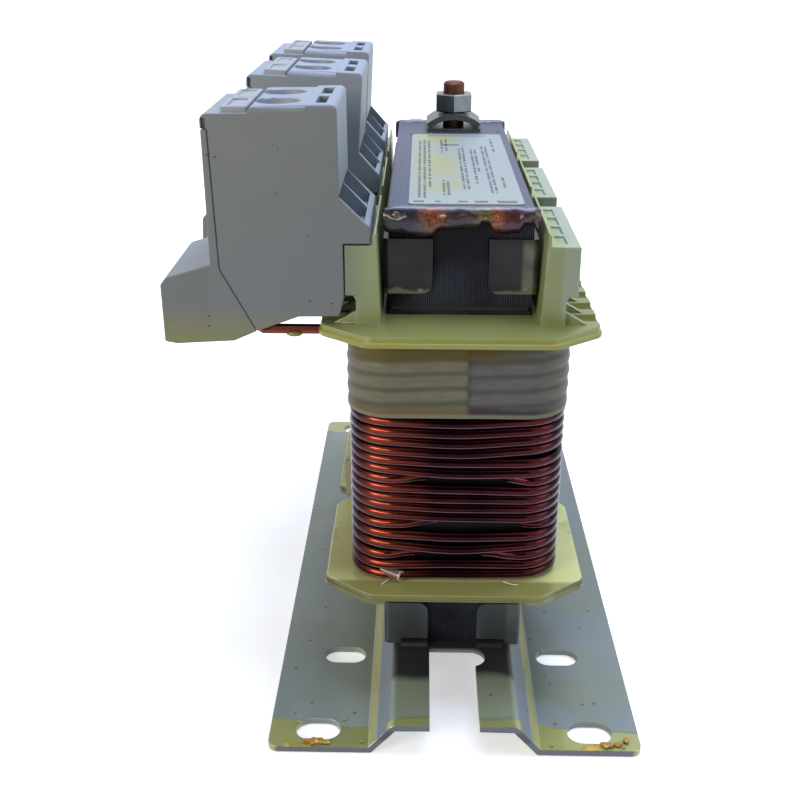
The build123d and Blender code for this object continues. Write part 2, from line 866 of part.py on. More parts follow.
    # Clamp cages, each a short rectangular sleeve open along the wire way
    cage_z = z_floor + cage_seat
    with BuildPart() as cage_pair:
        with BuildSketch(Plane.YZ.offset(well_centre)):
            with Locations(*[(pole, cage_z) for pole in poles]):
                Rectangle(cage_width, cage_height, align=(Align.CENTER, Align.MIN))
            with Locations(*[(pole, cage_z + cage_wall) for pole in poles]):
                Rectangle(
                    bar_width + cage_bore_play,
                    cage_height - cage_wall - cage_roof,
                    align=(Align.CENTER, Align.MIN),
                    mode=Mode.SUBTRACT,
                )
        extrude(amount=cage_length / 2, both=True)
        with BuildSketch(Plane.XY.offset(cage_z + cage_height)):
            with Locations(*[(well_centre, pole) for pole in poles]):
                RegularPolygon(screw_shank_diameter / 2 + screw_fit, screw_shank_sides)
        extrude(amount=-cage_roof, mode=Mode.SUBTRACT)

    # Contact bars from the cages down to the coil leads
    x_bar = shaft_x + bar_play
    with BuildPart() as bar_pair:
        for pole in poles:
            with BuildSketch(Plane.XZ.offset(-pole)):
                with BuildLine():
                    Polyline(
                        (x_bar, bar_end_z),
                        (x_bar, z_bar),
                        (well_centre + cage_length / 2, z_bar),
                        (well_centre + cage_length / 2, z_bar - bar_thickness),
                        (x_bar + bar_thickness, z_bar - bar_thickness),
                        (x_bar + bar_thickness, bar_end_z),
                        close=True,
                    )
                make_face()
            extrude(amount=bar_width / 2, both=True)

    # Clamp screws with slotted heads
    head_z = z_well - screw_head_height
    screw_spots = [(well_centre, pole) for pole in poles]
    with BuildPart() as screw_pair:
        with BuildSketch(Plane.XY.offset(z_bar + screw_fit)):
            with Locations(*screw_spots):
                RegularPolygon(screw_shank_diameter / 2, screw_shank_sides)
        extrude(amount=head_z - z_bar - screw_fit)
        with BuildSketch(Plane.XY.offset(head_z)):
            with Locations(*screw_spots):
                RegularPolygon(screw_head_diameter / 2, screw_head_sides)
        extrude(amount=screw_head_height)
        with BuildSketch(Plane.XY.offset(z_well)):
            with Locations(*screw_spots):
                Rectangle(screw_head_diameter + 1, screw_slot_width)
        extrude(amount=-screw_head_height / 2, mode=Mode.SUBTRACT)

    # Marker tabs, dished on top, pressed into their seats
    marker_spots = [(marker_x, pole) for pole in poles]
    with BuildPart() as marker_pair:
        with BuildSketch(Plane.XY.offset(z_top - marker_foot)):
            with Locations(*marker_spots):
                Rectangle(marker_width, marker_length)
        extrude(amount=marker_foot + marker_rise)
        with BuildSketch(Plane.XY.offset(z_top + marker_rise)):
            with Locations(*marker_spots):
                Rectangle(marker_dish_width, marker_dish_length)
        extrude(amount=-marker_dish, mode=Mode.SUBTRACT)

    pairs = (cage_pair, bar_pair, screw_pair, marker_pair)
    seats.append([pair.part.rotate(hook_edge, lean) for pair in pairs])

# The clamps and markers of all three blocks
with BuildPart() as clamp_cages:
    add([cages for cages, bars, screws, markers in seats])
clamp_cages.part.label = "clamp_cages"
export_step(clamp_cages.part, "parts/clamp_cages.step")

with BuildPart() as contact_bars:
    add([bars for cages, bars, screws, markers in seats])
contact_bars.part.label = "contact_bars"
export_step(contact_bars.part, "parts/contact_bars.step")

with BuildPart() as terminal_screws:
    add([screws for cages, bars, screws, markers in seats])
terminal_screws.part.label = "terminal_screws"
export_step(terminal_screws.part, "parts/terminal_screws.step")

with BuildPart() as marker_tabs:
    add([markers for cages, bars, screws, markers in seats])
marker_tabs.part.label = "marker_tabs"
export_step(marker_tabs.part, "parts/marker_tabs.step")

# Earth connection on the upper yoke: washer, saddle clamp, nut and stud
earth_y = leg_y[2]
saddle_z = core_top + washer_thickness
nut_z = saddle_z + saddle_arch + saddle_thickness
with BuildPart() as square_washer:
    with BuildSketch(Plane.XY.offset(core_top)):
        with Locations((stud_offset_x, earth_y)):
            Rectangle(washer_size, washer_size)
            Circle(stud_diameter / 2 + stud_fit, mode=Mode.SUBTRACT)
    extrude(amount=washer_thickness)
square_washer.part.label = "square_washer"
export_step(square_washer.part, "parts/square_washer.step")

with BuildPart() as saddle_clamp:
    with BuildSketch(Plane.XZ.offset(-earth_y)):
        with BuildLine():
            ThreePointArc(
                (stud_offset_x - saddle_length / 2, saddle_z),
                (stud_offset_x, saddle_z + saddle_arch),
                (stud_offset_x + saddle_length / 2, saddle_z),
            )
            offset(amount=saddle_thickness, side=Side.LEFT)
        make_face()
    extrude(amount=washer_size / 2, both=True)
    with BuildSketch(Plane.XY.offset(nut_z)):
        with Locations((stud_offset_x, earth_y)):
            Circle(stud_diameter / 2 + stud_fit)
    extrude(amount=-(nut_z - saddle_z), mode=Mode.SUBTRACT)
saddle_clamp.part.label = "saddle_clamp"
export_step(saddle_clamp.part, "parts/saddle_clamp.step")

with BuildPart() as earth_nut:
    corner_radius = nut_across_flats / math.sqrt(3)
    with BuildSketch(Plane.XY.offset(nut_z)):
        with Locations((stud_offset_x, earth_y)):
            RegularPolygon(corner_radius, 6, rotation=90)
            Circle(stud_diameter / 2 + stud_fit, mode=Mode.SUBTRACT)
    extrude(amount=nut_height)
    rims = earth_nut.edges().filter_by(GeomType.LINE)
    rims = [edge for edge in rims if abs(edge.center().Z - nut_z - nut_height / 2) > 0.1]
    chamfer(rims, length=nut_chamfer)
earth_nut.part.label = "earth_nut"
export_step(earth_nut.part, "parts/earth_nut.step")

with BuildPart() as earth_stud:
    with BuildSketch(Plane.XY.offset(core_top - stud_depth + stud_fit)):
        with Locations((stud_offset_x, earth_y)):
            Circle(stud_diameter / 2)
    extrude(amount=stud_depth - stud_fit + stud_height)
    tip = earth_stud.edges().filter_by(GeomType.CIRCLE).sort_by(Axis.Z)[-1]
    chamfer(tip, length=stud_diameter / 10)
earth_stud.part.label = "earth_stud"
export_step(earth_stud.part, "parts/earth_stud.step")

# Bare nameplate on the upper yoke
with BuildPart() as nameplate:
    with BuildSketch(Plane.XY.offset(core_top)):
        with Locations((label_x, label_y)):
            RectangleRounded(label_width, label_length, label_corner)
    extrude(amount=label_thickness)
nameplate.part.label = "nameplate"
export_step(nameplate.part, "parts/nameplate.step")

# Insulation strip standing between the front and the middle coil
with BuildPart() as insulation_strip:
    strip_y = (leg_y[0] + leg_y[1]) / 2
    with BuildSketch(Plane.XY.offset(lower_flange_top)):
        with Locations((-winding_x - strip_end, strip_y)):
            Rectangle(strip_length, strip_thickness, align=(Align.MIN, Align.CENTER))
    extrude(amount=strip_height)
insulation_strip.part.label = "insulation_strip"
export_step(insulation_strip.part, "parts/insulation_strip.step")
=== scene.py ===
import math
import random
from types import SimpleNamespace
import bpy
import bmesh
from mathutils import Matrix, Vector, noise
from mathutils.bvhtree import BVHTree
from mathutils.geometry import intersect_line_line


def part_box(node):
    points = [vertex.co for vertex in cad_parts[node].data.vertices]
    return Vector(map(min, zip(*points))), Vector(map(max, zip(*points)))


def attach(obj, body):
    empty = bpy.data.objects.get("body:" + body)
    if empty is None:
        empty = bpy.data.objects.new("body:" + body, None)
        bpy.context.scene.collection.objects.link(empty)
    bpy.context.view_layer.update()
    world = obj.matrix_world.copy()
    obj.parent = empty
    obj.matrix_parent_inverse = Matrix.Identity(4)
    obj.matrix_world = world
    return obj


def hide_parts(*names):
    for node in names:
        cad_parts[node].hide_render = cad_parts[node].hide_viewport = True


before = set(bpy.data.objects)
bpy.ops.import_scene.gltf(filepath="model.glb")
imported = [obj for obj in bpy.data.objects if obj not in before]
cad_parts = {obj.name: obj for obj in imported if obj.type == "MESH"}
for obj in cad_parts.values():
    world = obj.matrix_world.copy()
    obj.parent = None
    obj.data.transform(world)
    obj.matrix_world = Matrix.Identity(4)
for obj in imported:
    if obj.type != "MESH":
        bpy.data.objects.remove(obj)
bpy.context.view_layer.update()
mm = 0.001
print("frame loaded, nodes:", len(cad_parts))

legs = {"front": -46.0, "middle": 0.0, "rear": 46.0}  # leg centres along Y, mm


# small helpers

def addObject(name, data):
    made = bpy.data.objects.new(name, data)
    bpy.context.scene.collection.objects.link(made)
    return made


def addPiece(name, data, finish, replaced=()):
    # a piece of the object, its place already in its mesh or curve
    data.materials.append(finishes[finish])
    piece = addObject(name, data)
    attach(piece, "root")
    if replaced:
        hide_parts(*replaced)
    return piece


def finishPiece(bm, name, finish, replaced=(), smooth=40.0):
    # turns a bmesh into a piece; edges sharper than smooth degrees stay sharp
    bmesh.ops.recalc_face_normals(bm, faces=bm.faces)
    mesh = bpy.data.meshes.new(name)
    bm.to_mesh(mesh)
    bm.free()
    mesh.shade_smooth()
    mesh.set_sharp_from_angle(angle=math.radians(smooth))
    return addPiece(name, mesh, finish, replaced)


def roundedBlock(block, centreY):
    # an upright block with rounded corners, all in mm
    bm = bmesh.new()
    bmesh.ops.create_cube(bm, size=1.0)
    size = Vector((2 * block["halfX"], 2 * block["halfY"], block["high"] - block["low"])) * mm
    bmesh.ops.scale(bm, vec=size, verts=bm.verts)
    centre = Vector((0, centreY, (block["low"] + block["high"]) / 2)) * mm
    bmesh.ops.translate(bm, vec=centre, verts=bm.verts)
    upright = [e for e in bm.edges if abs(e.verts[0].co.z - e.verts[1].co.z) > 0.5 * size.z]
    bmesh.ops.bevel(bm, geom=upright, offset=block["corner"] * mm, segments=block["steps"], profile=0.5,
                    affect="EDGES", material=-1)
    return bm


def cutAcross(bm, axis, places):
    # cuts the mesh at places along an axis, so that it can be shaped there
    normal = Vector((axis == 0, axis == 1, axis == 2))
    for place in places:
        geom = bm.verts[:] + bm.edges[:] + bm.faces[:]
        bmesh.ops.bisect_plane(bm, geom=geom, dist=1e-7, plane_co=normal * place * mm, plane_no=normal)


def ease(value, low, high):
    share = min(max((value - low) / (high - low), 0.0), 1.0)
    return share * share * (3 - 2 * share)


# edges eased by a small bevel, as moulding and pressing leave them
easing = {
    "flat": 2.0, "sharp": 30.0, "smooth": 35.0,  # degrees: merged into one face, bevelled, shaded soft
    "room": 2.3, "thrownOut": 0.9,  # in bevel widths: room that an edge needs, and how far a corner may stray
}


def roomBeside(edge, face):
    # how far the face reaches inwards from the middle of one of its edges
    loop = next(loop for loop in face.loops if loop.edge == edge)
    first, second = loop.vert.co, loop.link_loop_next.vert.co
    middle = (first + second) / 2
    inward = face.normal.cross(second - first).normalized()
    room = 1.0
    for other in face.edges:
        start, end = other.verts[0].co, other.verts[1].co
        hit = None if other == edge else intersect_line_line(middle, middle + inward, start, end)
        if hit and -0.01 <= (hit[1] - start).dot(end - start) / (end - start).length_squared <= 1.01:
            reach = (hit[0] - middle).dot(inward)
            room = min(room, reach) if reach > 1e-7 else room
    return room


def easedCopy(node, name, width, finish, segments=1):
    # a copy of a CAD node with its edges eased, width in mm
    bm = bmesh.new()
    bm.from_mesh(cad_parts[node].data)
    bmesh.ops.remove_doubles(bm, verts=bm.verts, dist=1e-6)
    bmesh.ops.dissolve_limit(bm, angle_limit=math.radians(easing["flat"]), verts=bm.verts, edges=bm.edges)
    surface = BVHTree.FromBMesh(bm)
    sharp = [e for e in bm.edges
             if len(e.link_faces) == 2 and e.calc_face_angle(0) > math.radians(easing["sharp"])
             and min(roomBeside(e, f) for f in e.link_faces) > easing["room"] * width * mm]
    bmesh.ops.bevel(bm, geom=sharp, offset=width * mm, segments=segments, profile=0.5,
                    affect="EDGES", material=-1, clamp_overlap=False)
    for vert in bm.verts:  # where narrow faces throw a corner out, it goes back onto the moulding
        nearest, _, _, away = surface.find_nearest(vert.co)
        if away > easing["thrownOut"] * width * mm:
            vert.co = nearest
    piece = finishPiece(bm, name, finish, (node,), smooth=easing["smooth"])
    # keeps the large flat faces flat
    piece.modifiers.new("weighted", "WEIGHTED_NORMAL").keep_sharp = True


# materials: a base tone, then zones of colour laid over one another where their limits are met

def linear(hexColour):
    # sRGB hex to the linear colour that the shaders use
    channels = [int(hexColour[i:i + 2], 16) / 255 for i in (1, 3, 5)]
    return tuple(c / 12.92 if c <= 0.04045 else ((c + 0.055) / 1.055) ** 2.4 for c in channels) + (1.0,)


def addNode(tree, kind, settings=None, links=None):
    # plain attributes come first in settings, then sockets by name or number
    node = tree.nodes.new(kind)
    for key, value in (settings or {}).items():
        if isinstance(key, int) or key in node.inputs:
            node.inputs[key].default_value = value
        else:
            setattr(node, key, value)
    for key, source in (links or {}).items():
        tree.links.new(source, node.inputs[key])
    return node


def startMaterial(name, measured, patterns, **sockets):
    # measured names places in mm: x, y, z, width (off the middle along X) and length (along Y);
    # patterns run from 0 to 1: (size in mm, detail), with three sizes where it is stretched; noise if no other
    material = bpy.data.materials.new(name)
    material.use_nodes = True
    tree = material.node_tree
    shader = tree.nodes["Principled BSDF"]
    for socket, value in sockets.items():
        shader.inputs[socket.replace("_", " ")].default_value = value
    place = addNode(tree, "ShaderNodeTexCoord").outputs["Object"]
    sources = {}
    if measured:
        inMm = addNode(tree, "ShaderNodeVectorMath", {"operation": "SCALE", "Scale": 1 / mm}, {0: place})
        split = addNode(tree, "ShaderNodeSeparateXYZ", links={"Vector": inMm.outputs["Vector"]})
    for span in measured:
        axis = {"width": "x", "length": "y"}.get(span, span)
        sources[span] = split.outputs[axis.upper()]
        if span != axis:
            size = addNode(tree, "ShaderNodeMath", {"operation": "ABSOLUTE"}, {0: sources[span]})
            sources[span] = size.outputs[0]
    for pattern, (size, detail, *other) in patterns.items():
        texture = other[0] if other else "Noise"
        spot, scale = place, 1.0
        if isinstance(size, tuple):
            stretch = [1 / (length * mm) for length in size]
            spot = addNode(tree, "ShaderNodeMapping", {"Scale": stretch}, {"Vector": place}).outputs["Vector"]
        else:
            scale = 1 / (size * mm)
        made = addNode(tree, "ShaderNodeTex" + texture, {"Scale": scale, "Detail": detail}, {"Vector": spot})
        sources[pattern] = made.outputs["Distance" if texture == "Voronoi" else "Fac"]
    return SimpleNamespace(material=material, tree=tree, shader=shader, sources=sources)


def coverage(look, limits, most=1.0):
    # how far a zone covers: each limit names a source, where the zone starts on it and where it is full
    covered = None
    for source, start, full in limits:
        links = {"Value": look.sources[source]}
        if covered:
            links["To Max"] = covered  # each limit leaves its share of what the ones before it left
        covered = addNode(look.tree, "ShaderNodeMapRange", {"From Min": start, "From Max": full, "To Max": most},
                          links).outputs["Result"]
    return covered


def layer(look, under, over, limits, most=1.0):
    # one colour over another where the limits are met, each a hex or what an earlier layer gave
    settings = {"data_type": "RGBA"}
    links = {0: coverage(look, limits, most)}
    for socket, colour in ((6, under), (7, over)):
        if isinstance(colour, str):
            settings[socket] = linear(colour)
        else:
            links[socket] = colour
    return addNode(look.tree, "ShaderNodeMix", settings, links).outputs[2]


def paint(look, body, zones):
    # each zone is (colour, how much of it shows at most, limits)
    for colour, most, limits in zones.values():
        body = layer(look, body, colour, limits, most)
    return body


def feed(look, socket, limits, most=1.0):
    # one of the shader's values changes from zone to zone
    look.tree.links.new(coverage(look, limits, most), look.shader.inputs[socket])


def wander(look, axis, pattern, rise, low=0.0, high=1.0):
    # an axis whose level lines wander by up to rise mm, as a shore does
    swing = addNode(look.tree, "ShaderNodeMapRange", {"From Min": low, "From Max": high, "To Max": rise},
                    {"Value": look.sources[pattern]})
    return addNode(look.tree, "ShaderNodeMath", {"operation": "ADD"},
                   {0: look.sources[axis], 1: swing.outputs["Result"]}).outputs[0]


def fitStops(ramp, stops):
    # a colour ramp comes with two stops, so the others are new
    for number, (position, colour) in enumerate(stops):
        stop = ramp.elements[number] if number < 2 else ramp.elements.new(position)
        stop.position = position
        stop.color = colour


def setSurface(look, body, relief="", strength=0.0, depth=0.0):
    # the finished colour, and a source as relief whose full height is depth mm
    look.tree.links.new(body, look.shader.inputs["Base Color"])
    if relief:
        bump = addNode(look.tree, "ShaderNodeBump", {"Strength": strength, "Distance": depth * mm},
                       {"Height": look.sources[relief]})
        look.tree.links.new(bump.outputs["Normal"], look.shader.inputs["Normal"])
    return look.material


def mouldedPolyamide():
    # natural polyamide 6, moulded: milky yellow-green, a little light goes in, deeper yellow in the thick rims
    look = startMaterial("mouldedPolyamide", ("x", "y", "z"), {
        "clouds": (16.67, 4.0), "islands": (13.33, 3.0),
        "grain": (1.111, 3.0),  # the tool's spark texture, drawn coarser than it is so that it shows
    }, Roughness=0.34, IOR=1.53, Subsurface_Weight=0.3, Subsurface_Scale=0.002, Subsurface_Radius=(1.0, 0.95, 0.45))
    # the two flanges' edges are seen through their whole width: height, and how deep the yellow is there
    rims = ((28.2, 0.4), (29.25, 0.85), (30.0, 0.25), (30.4, 0.0), (88.5, 0.0), (88.8, 0.85),
            (89.9, 0.85), (90.2, 1.0), (90.5, 0.9), (90.8, 0.25), (91.4, 0.0))
    rampTop = 100.0
    ramp = addNode(look.tree, "ShaderNodeValToRGB", links={"Fac": coverage(look, [("z", 0.0, rampTop)])})
    fitStops(ramp.color_ramp, [(height / rampTop, (depth, depth, depth, 1)) for height, depth in rims])
    look.sources["rim"] = ramp.outputs["Color"]
    # dipping varnish pooled on the flanges in brownish yellow islands
    look.sources["pool"] = coverage(look, [("islands", 0.56, 0.64), ("z", 93.0, 92.5)], 0.4)
    body = layer(look, "#87915c", "#9aa272", [("clouds", 0.3, 0.7)])
    body = paint(look, body, {
        "rims": ("#9c9834", 1.0, [("rim", 0.0, 1.0)]),
        # the lower deck paler: painted light where the upper flange and the winding shade it
        "lowerDeckLight": ("#dcdd90", 1.0, [("z", 30.0, 30.15), ("z", 30.6, 30.4)]),
        # darker below the lower deck: painted shade
        "underLowerDeckShade": ("#57541c", 0.9, [("z", 30.1, 29.9)]),
        # the upper deck darker and yellower: painted shade cast by the terminal blocks
        "upperDeckShade": ("#787a3e", 0.7, [("z", 91.05, 91.18), ("z", 91.5, 91.3)]),
        "thinSocketWalls": ("#9dab9f", 0.55, [("x", 20.3, 21.2), ("z", 92.5, 94.5)]),  # paler and bluer
        # the left sockets darker and greyer: painted shade between the terminals and the yoke
        "leftSocketsShade": ("#647668", 0.6, [("x", -19.0, -23.5), ("z", 93.5, 98.0)]),
        "frontEdgePool": ("#77752f", 0.7, [("y", -65.2, -66.4), ("z", 31.0, 30.6)]),
        "islands": ("#8d8f3c", 1.0, [("pool", 0.0, 1.0)]),
    })
    feed(look, "Coat Weight", [("pool", 0.0, 1.0)], 0.8)
    return setSurface(look, body, "grain", 0.22, 0.1)


def greyPolyamide():
    # glass-filled polyamide, moulded: light grey, fine matt grain, a few dark specks and smudges
    look = startMaterial("greyPolyamide", ("x", "y", "z"), {
        "clouds": (11.11, 5.0), "smudges": (9.091, 3.0), "dots": (7.692, 0.0, "Voronoi"),
        "creep": (14.29, 2.0), "grain": (0.4, 2.0),
    }, Roughness=0.48, IOR=1.53)
    body = layer(look, "#686d6b", "#6f7473", [("clouds", 0.0, 1.0)])
    body = paint(look, body, {
        "smudges": ("#666760", 0.35, [("smudges", 0.6, 0.75)]),
        "specks": ("#5a5a50", 0.75, [("dots", 0.06, 0.035)]),
        # what lies behind the outer face is paler and bluer, painted light in the shade between the blocks, and the
        # top faces are the palest, painted light from above
        "behindFaceLight": ("#8c959c", 0.8, [("y", -63.8, -63.3)]),
        "topFacesLight": ("#8a94a2", 0.8, [("z", 135.2, 136.2)]),
        "ductEnd": ("#5f625b", 0.35, [("x", -50.5, -53.5)]),
    })
    # the screw wells' walls are paler: painted light on their far walls; X and Y of each well
    wells = ((-37.5, -56.2), (-37.5, -42.8), (-35.1, -10.2), (-35.1, 3.2), (-35.6, 35.8), (-35.6, 49.2))
    flat = addNode(look.tree, "ShaderNodeCombineXYZ", links={"X": look.sources["x"], "Y": look.sources["y"]})
    for well in wells:
        reach = addNode(look.tree, "ShaderNodeVectorMath", {"operation": "DISTANCE", 1: well + (0.0,)},
                        {0: flat.outputs["Vector"]})
        look.sources["reach"] = reach.outputs["Value"]
        body = layer(look, body, "#a5abb6", [("reach", 4.9, 4.6), ("z", 124.0, 126.0)])
    # varnish has crept up the lowest 5 mm and dried olive
    look.sources["level"] = wander(look, "z", "creep", 4.0)
    body = layer(look, body, "#82803f", [("level", 96.5, 89.5)], 0.75)
    return setSurface(look, body, "grain", 0.2, 0.06)


def enamelledCopper():
    # copper wire under dark red polyester enamel: nearly black face on, orange-red where light strikes it; the orange
    # round the corners, brightest at left, and on the leads is painted glint
    look = startMaterial("enamelledCopper", ("x", "width"), {"clouds": (11.11, 4.0)},
                         Metallic=0.95, Roughness=0.2)
    cornerGlint = layer(look, "#642b1e", "#40181a", [("x", -2.0, 2.0)])
    tone = layer(look, "#14050c", "#300d0f", [("clouds", 0.35, 0.7)])
    tone = paint(look, tone, {
        # the leads lighter: painted highlight
        "leadsHighlight": ("#6b3a2e", 1.0, [("x", -25.5, -27.0)]),
        # orange round the corners, brighter at the left than the right: painted glints
        "cornerGlints": (cornerGlint, 1.0, [("width", 5.0, 15.0), ("width", 22.0, 19.0)]),
    })
    return setSurface(look, tone)


def varnishedFleece():
    # polyester fleece tape soaked in varnish: beige-olive at left, greyer past the seam, brown along both edges
    look = startMaterial("varnishedFleece", ("x", "z"), {
        "strands": ((3.846, 3.846, 1.111), 6.0),  # drawn thicker than real fibres, so that they show
        "creep": (7.143, 3.0), "crumbs": (1.111, 0.0, "Voronoi"),
    }, Roughness=0.5, IOR=1.5, Specular_IOR_Level=0.2)
    look.sources["groove"] = addNode(look.tree, "ShaderNodeAttribute", {"attribute_name": "groove"}).outputs["Fac"]
    look.sources["level"] = wander(look, "z", "creep", 3.0)
    fibres = [("strands", 0.3, 0.68)]
    pastSeam = [("x", 1.6, 2.6), ("x", 21.5, 16.5)]
    beige = layer(look, "#737058", "#807e66", fibres)
    grey = layer(look, "#62615a", "#6f6e67", fibres)
    # darker in the grooves between the wraps: painted shade
    grooveShade = layer(look, "#454336", "#403d49", pastSeam)
    lowerEdge = layer(look, "#6b5e3c", "#2c1718", pastSeam)
    body = paint(look, beige, {
        "pastSeam": (grey, 1.0, pastSeam),
        "grooveShade": (grooveShade, 0.75, [("groove", 0.25, 1.0)]),
        "seam": ("#3f3c30", 0.45, [("x", 1.2, 2.0), ("x", 3.0, 2.2)]),
        "upperEdge": ("#5c5010", 0.85, [("level", 84.5, 86.2), ("x", 18.0, 6.0)]),
        "lowerEdge": (lowerEdge, 0.8, [("level", 75.2, 74.2)]),
        # orange crumbs of enamel caught by the lower edge
        "crumbs": ("#8a5428", 1.0, [("z", 73.4, 73.0), ("x", -4.0, -8.0), ("crumbs", 0.36, 0.28)]),
        "hem": ("#8d8b72", 0.75, [("z", 72.0, 71.5)]),
    })
    return setSurface(look, body, "strands", 0.25, 0.1)


def rolledSteel():
    # rolled steel under dipping varnish: grey-green satin, olive glossy pools at the ends, amber lumps by the slots
    look = startMaterial("rolledSteel", ("x", "y", "z", "width", "length"), {
        "streak": ((16.67, 71.43, 16.67), 7.0),  # along the direction of rolling
        "patch": (26.32, 3.0), "pits": (5.263, 0.0, "Voronoi"),
        "shoreline": (18.18, 1.0), "lumps": (2.381, 3.0),
    }, Metallic=0.3, Roughness=0.42, Coat_Roughness=0.08)
    look.sources["shore"] = wander(look, "length", "shoreline", 6.0, 0.25, 0.75)
    # pools: across both ends of each foot, along the raised panel's edge and along the folds
    pool = coverage(look, [("width", 19.2, 18.6), ("z", 3.8, 3.2)])
    for limits in ([("shore", 82.8, 83.4), ("z", 4.0, 3.0)], [("shore", 87.8, 88.8), ("z", 5.5, 6.5)]):
        pool = addNode(look.tree, "ShaderNodeMath", {"operation": "MAXIMUM"},
                       {0: pool, 1: coverage(look, limits)}).outputs[0]
    look.sources["pool"] = pool
    # amber lumps where the varnish dripped from the slots
    look.sources["lump"] = coverage(look, [("lumps", 0.5, 0.54), ("length", 86.0, 86.8), ("width", 27.5, 29.0),
                                           ("width", 38.0, 36.5), ("z", 3.5, 3.0)])
    # soot of the foot welds on the raised panel
    look.sources["soot"] = coverage(look, [("shore", 76.5, 73.5), ("z", 6.6, 7.2), ("width", 15.8, 14.0)], 0.93)
    olive = layer(look, "#a5a548", "#969858", [("patch", 0.35, 0.65)])
    body = layer(look, "#7e8981", "#97a29d", [("streak", 0.25, 0.75)])
    body = paint(look, body, {
        # the right foot darker: painted shade
        "rightFootShade": ("#737c7c", 0.65, [("x", 18.0, 30.0)]),
        "patches": ("#7f8668", 0.45, [("patch", 0.52, 0.62)]),
        # the raised panel olive, and paler as painted light where the coil shades it
        "panelLitOlive": ("#8f9676", 0.85, [("z", 7.0, 7.4)]),
        "flanks": ("#79838a", 1.0, [("z", 2.5, 3.2), ("z", 7.2, 6.6)]),
        # beside the left fold the steel is paler: painted light where the fold and the coil shade it
        "besideFoldLight": ("#b4beae", 0.55, [("x", -31.0, -23.0), ("x", -16.0, -18.0), ("z", 4.0, 3.0)]),
        "pits": ("#2c3030", 0.6, [("pits", 0.10, 0.06)]),
        "pools": (olive, 0.85, [("pool", 0.0, 1.0)]),
        "lumps": ("#d2a424", 1.0, [("lump", 0.0, 1.0)]),
        "bareCutEdges": ("#4e5457", 1.0, [("length", 88.3, 88.5)]),
        "soot": ("#0b0c14", 1.0, [("soot", 0.0, 1.0)]),
    })
    feed(look, "Coat Weight", [("pool", 0.0, 1.0)], 0.9)
    feed(look, "Metallic", [("soot", 1.0, 0.0)], 0.3)
    satin = addNode(look.tree, "ShaderNodeMapRange", {"To Min": 0.34, "To Max": 0.52},
                    {"Value": look.sources["streak"]})
    look.tree.links.new(satin.outputs["Result"], look.shader.inputs["Roughness"])
    raised = coverage(look, [("lump", 0.0, 1.0)], 0.8)
    relief = addNode(look.tree, "ShaderNodeMath", {"operation": "MULTIPLY_ADD", 1: 0.6}, {0: pool, 2: raised})
    look.sources["relief"] = relief.outputs[0]
    return setSurface(look, body, "relief", 0.8, 0.5)


def laminatedSteel():
    # varnished stack of 0.5 mm electrical sheets: near black with even lines on its ends, lavender-grey on top, the
    # two tones painted shade and painted light
    look = startMaterial("laminatedSteel", ("x", "y", "z"), {
        "patch": (10.0, 3.0), "lines": (1.5625, 2.0, "Wave"),  # a band of a wave is pi / 10 of its size
    }, Metallic=0.2, Roughness=0.4, Specular_IOR_Level=0.12)
    # the scorch of the weld climbs to the right
    slant = addNode(look.tree, "ShaderNodeMath", {"operation": "MULTIPLY_ADD", 1: -0.8},
                    {0: look.sources["x"], 2: look.sources["z"]})
    look.sources["slant"] = slant.outputs[0]
    side = layer(look, "#0d0f15", "#181a22", [("patch", 0.35, 0.65)])
    side = paint(look, side, {
        "sheetEdges": ("#3e4352", 1.0, [("lines", 0.0, 1.0), ("patch", 0.3, 0.7)]),
        "scorch": ("#040409", 1.0, [("slant", 102.5, 106.5)]),
    })
    # the top lighter than the ends: painted light from above on the same sheets
    top = layer(look, "#5a5f70", "#3b3f4e", [("lines", 0.0, 1.0)], 0.45)
    top = layer(look, top, "#4b4f58", [("y", 36.0, 52.0)], 0.8)
    body = layer(look, side, top, [("z", 113.2, 113.8)])
    return setSurface(look, body, "lines", 0.35, 0.2)


def strapSteel():
    # folded strap steel under varnish: dark grey-brown, a paler fold that is a painted highlight, yellow varnish
    # pooled at the tabs' feet
    look = startMaterial("strapSteel", ("x", "z", "width"), {
        "patch": (7.692, 5.0), "shoreline": (4.762, 2.0),
    }, Metallic=0.5, Roughness=0.36, Coat_Roughness=0.08)
    look.sources["shore"] = wander(look, "z", "shoreline", 1.6, 0.2, 0.8)
    look.sources["pool"] = coverage(look, [("shore", 98.2, 97.6), ("z", 90.0, 91.0)])
    tone = layer(look, "#121211", "#2b2a27", [("patch", 0.3, 0.75)])
    tone = paint(look, tone, {
        # the paler fold: painted highlight
        "foldHighlight": ("#6a6a5a", 0.8, [("x", -12.0, 12.0), ("width", 12.6, 13.4), ("patch", 0.3, 0.55)]),
        "lowerTabs": ("#62686a", 0.5, [("z", 30.0, 20.0)]),
        "pool": ("#4f4e0c", 0.8, [("pool", 0.0, 1.0)]),
        "scorch": ("#0d0808", 0.9, [("z", 105.5, 108.5)]),
    })
    feed(look, "Coat Weight", [("pool", 0.0, 1.0)], 0.45)
    return setSurface(look, tone, "pool", 0.7, 0.4)


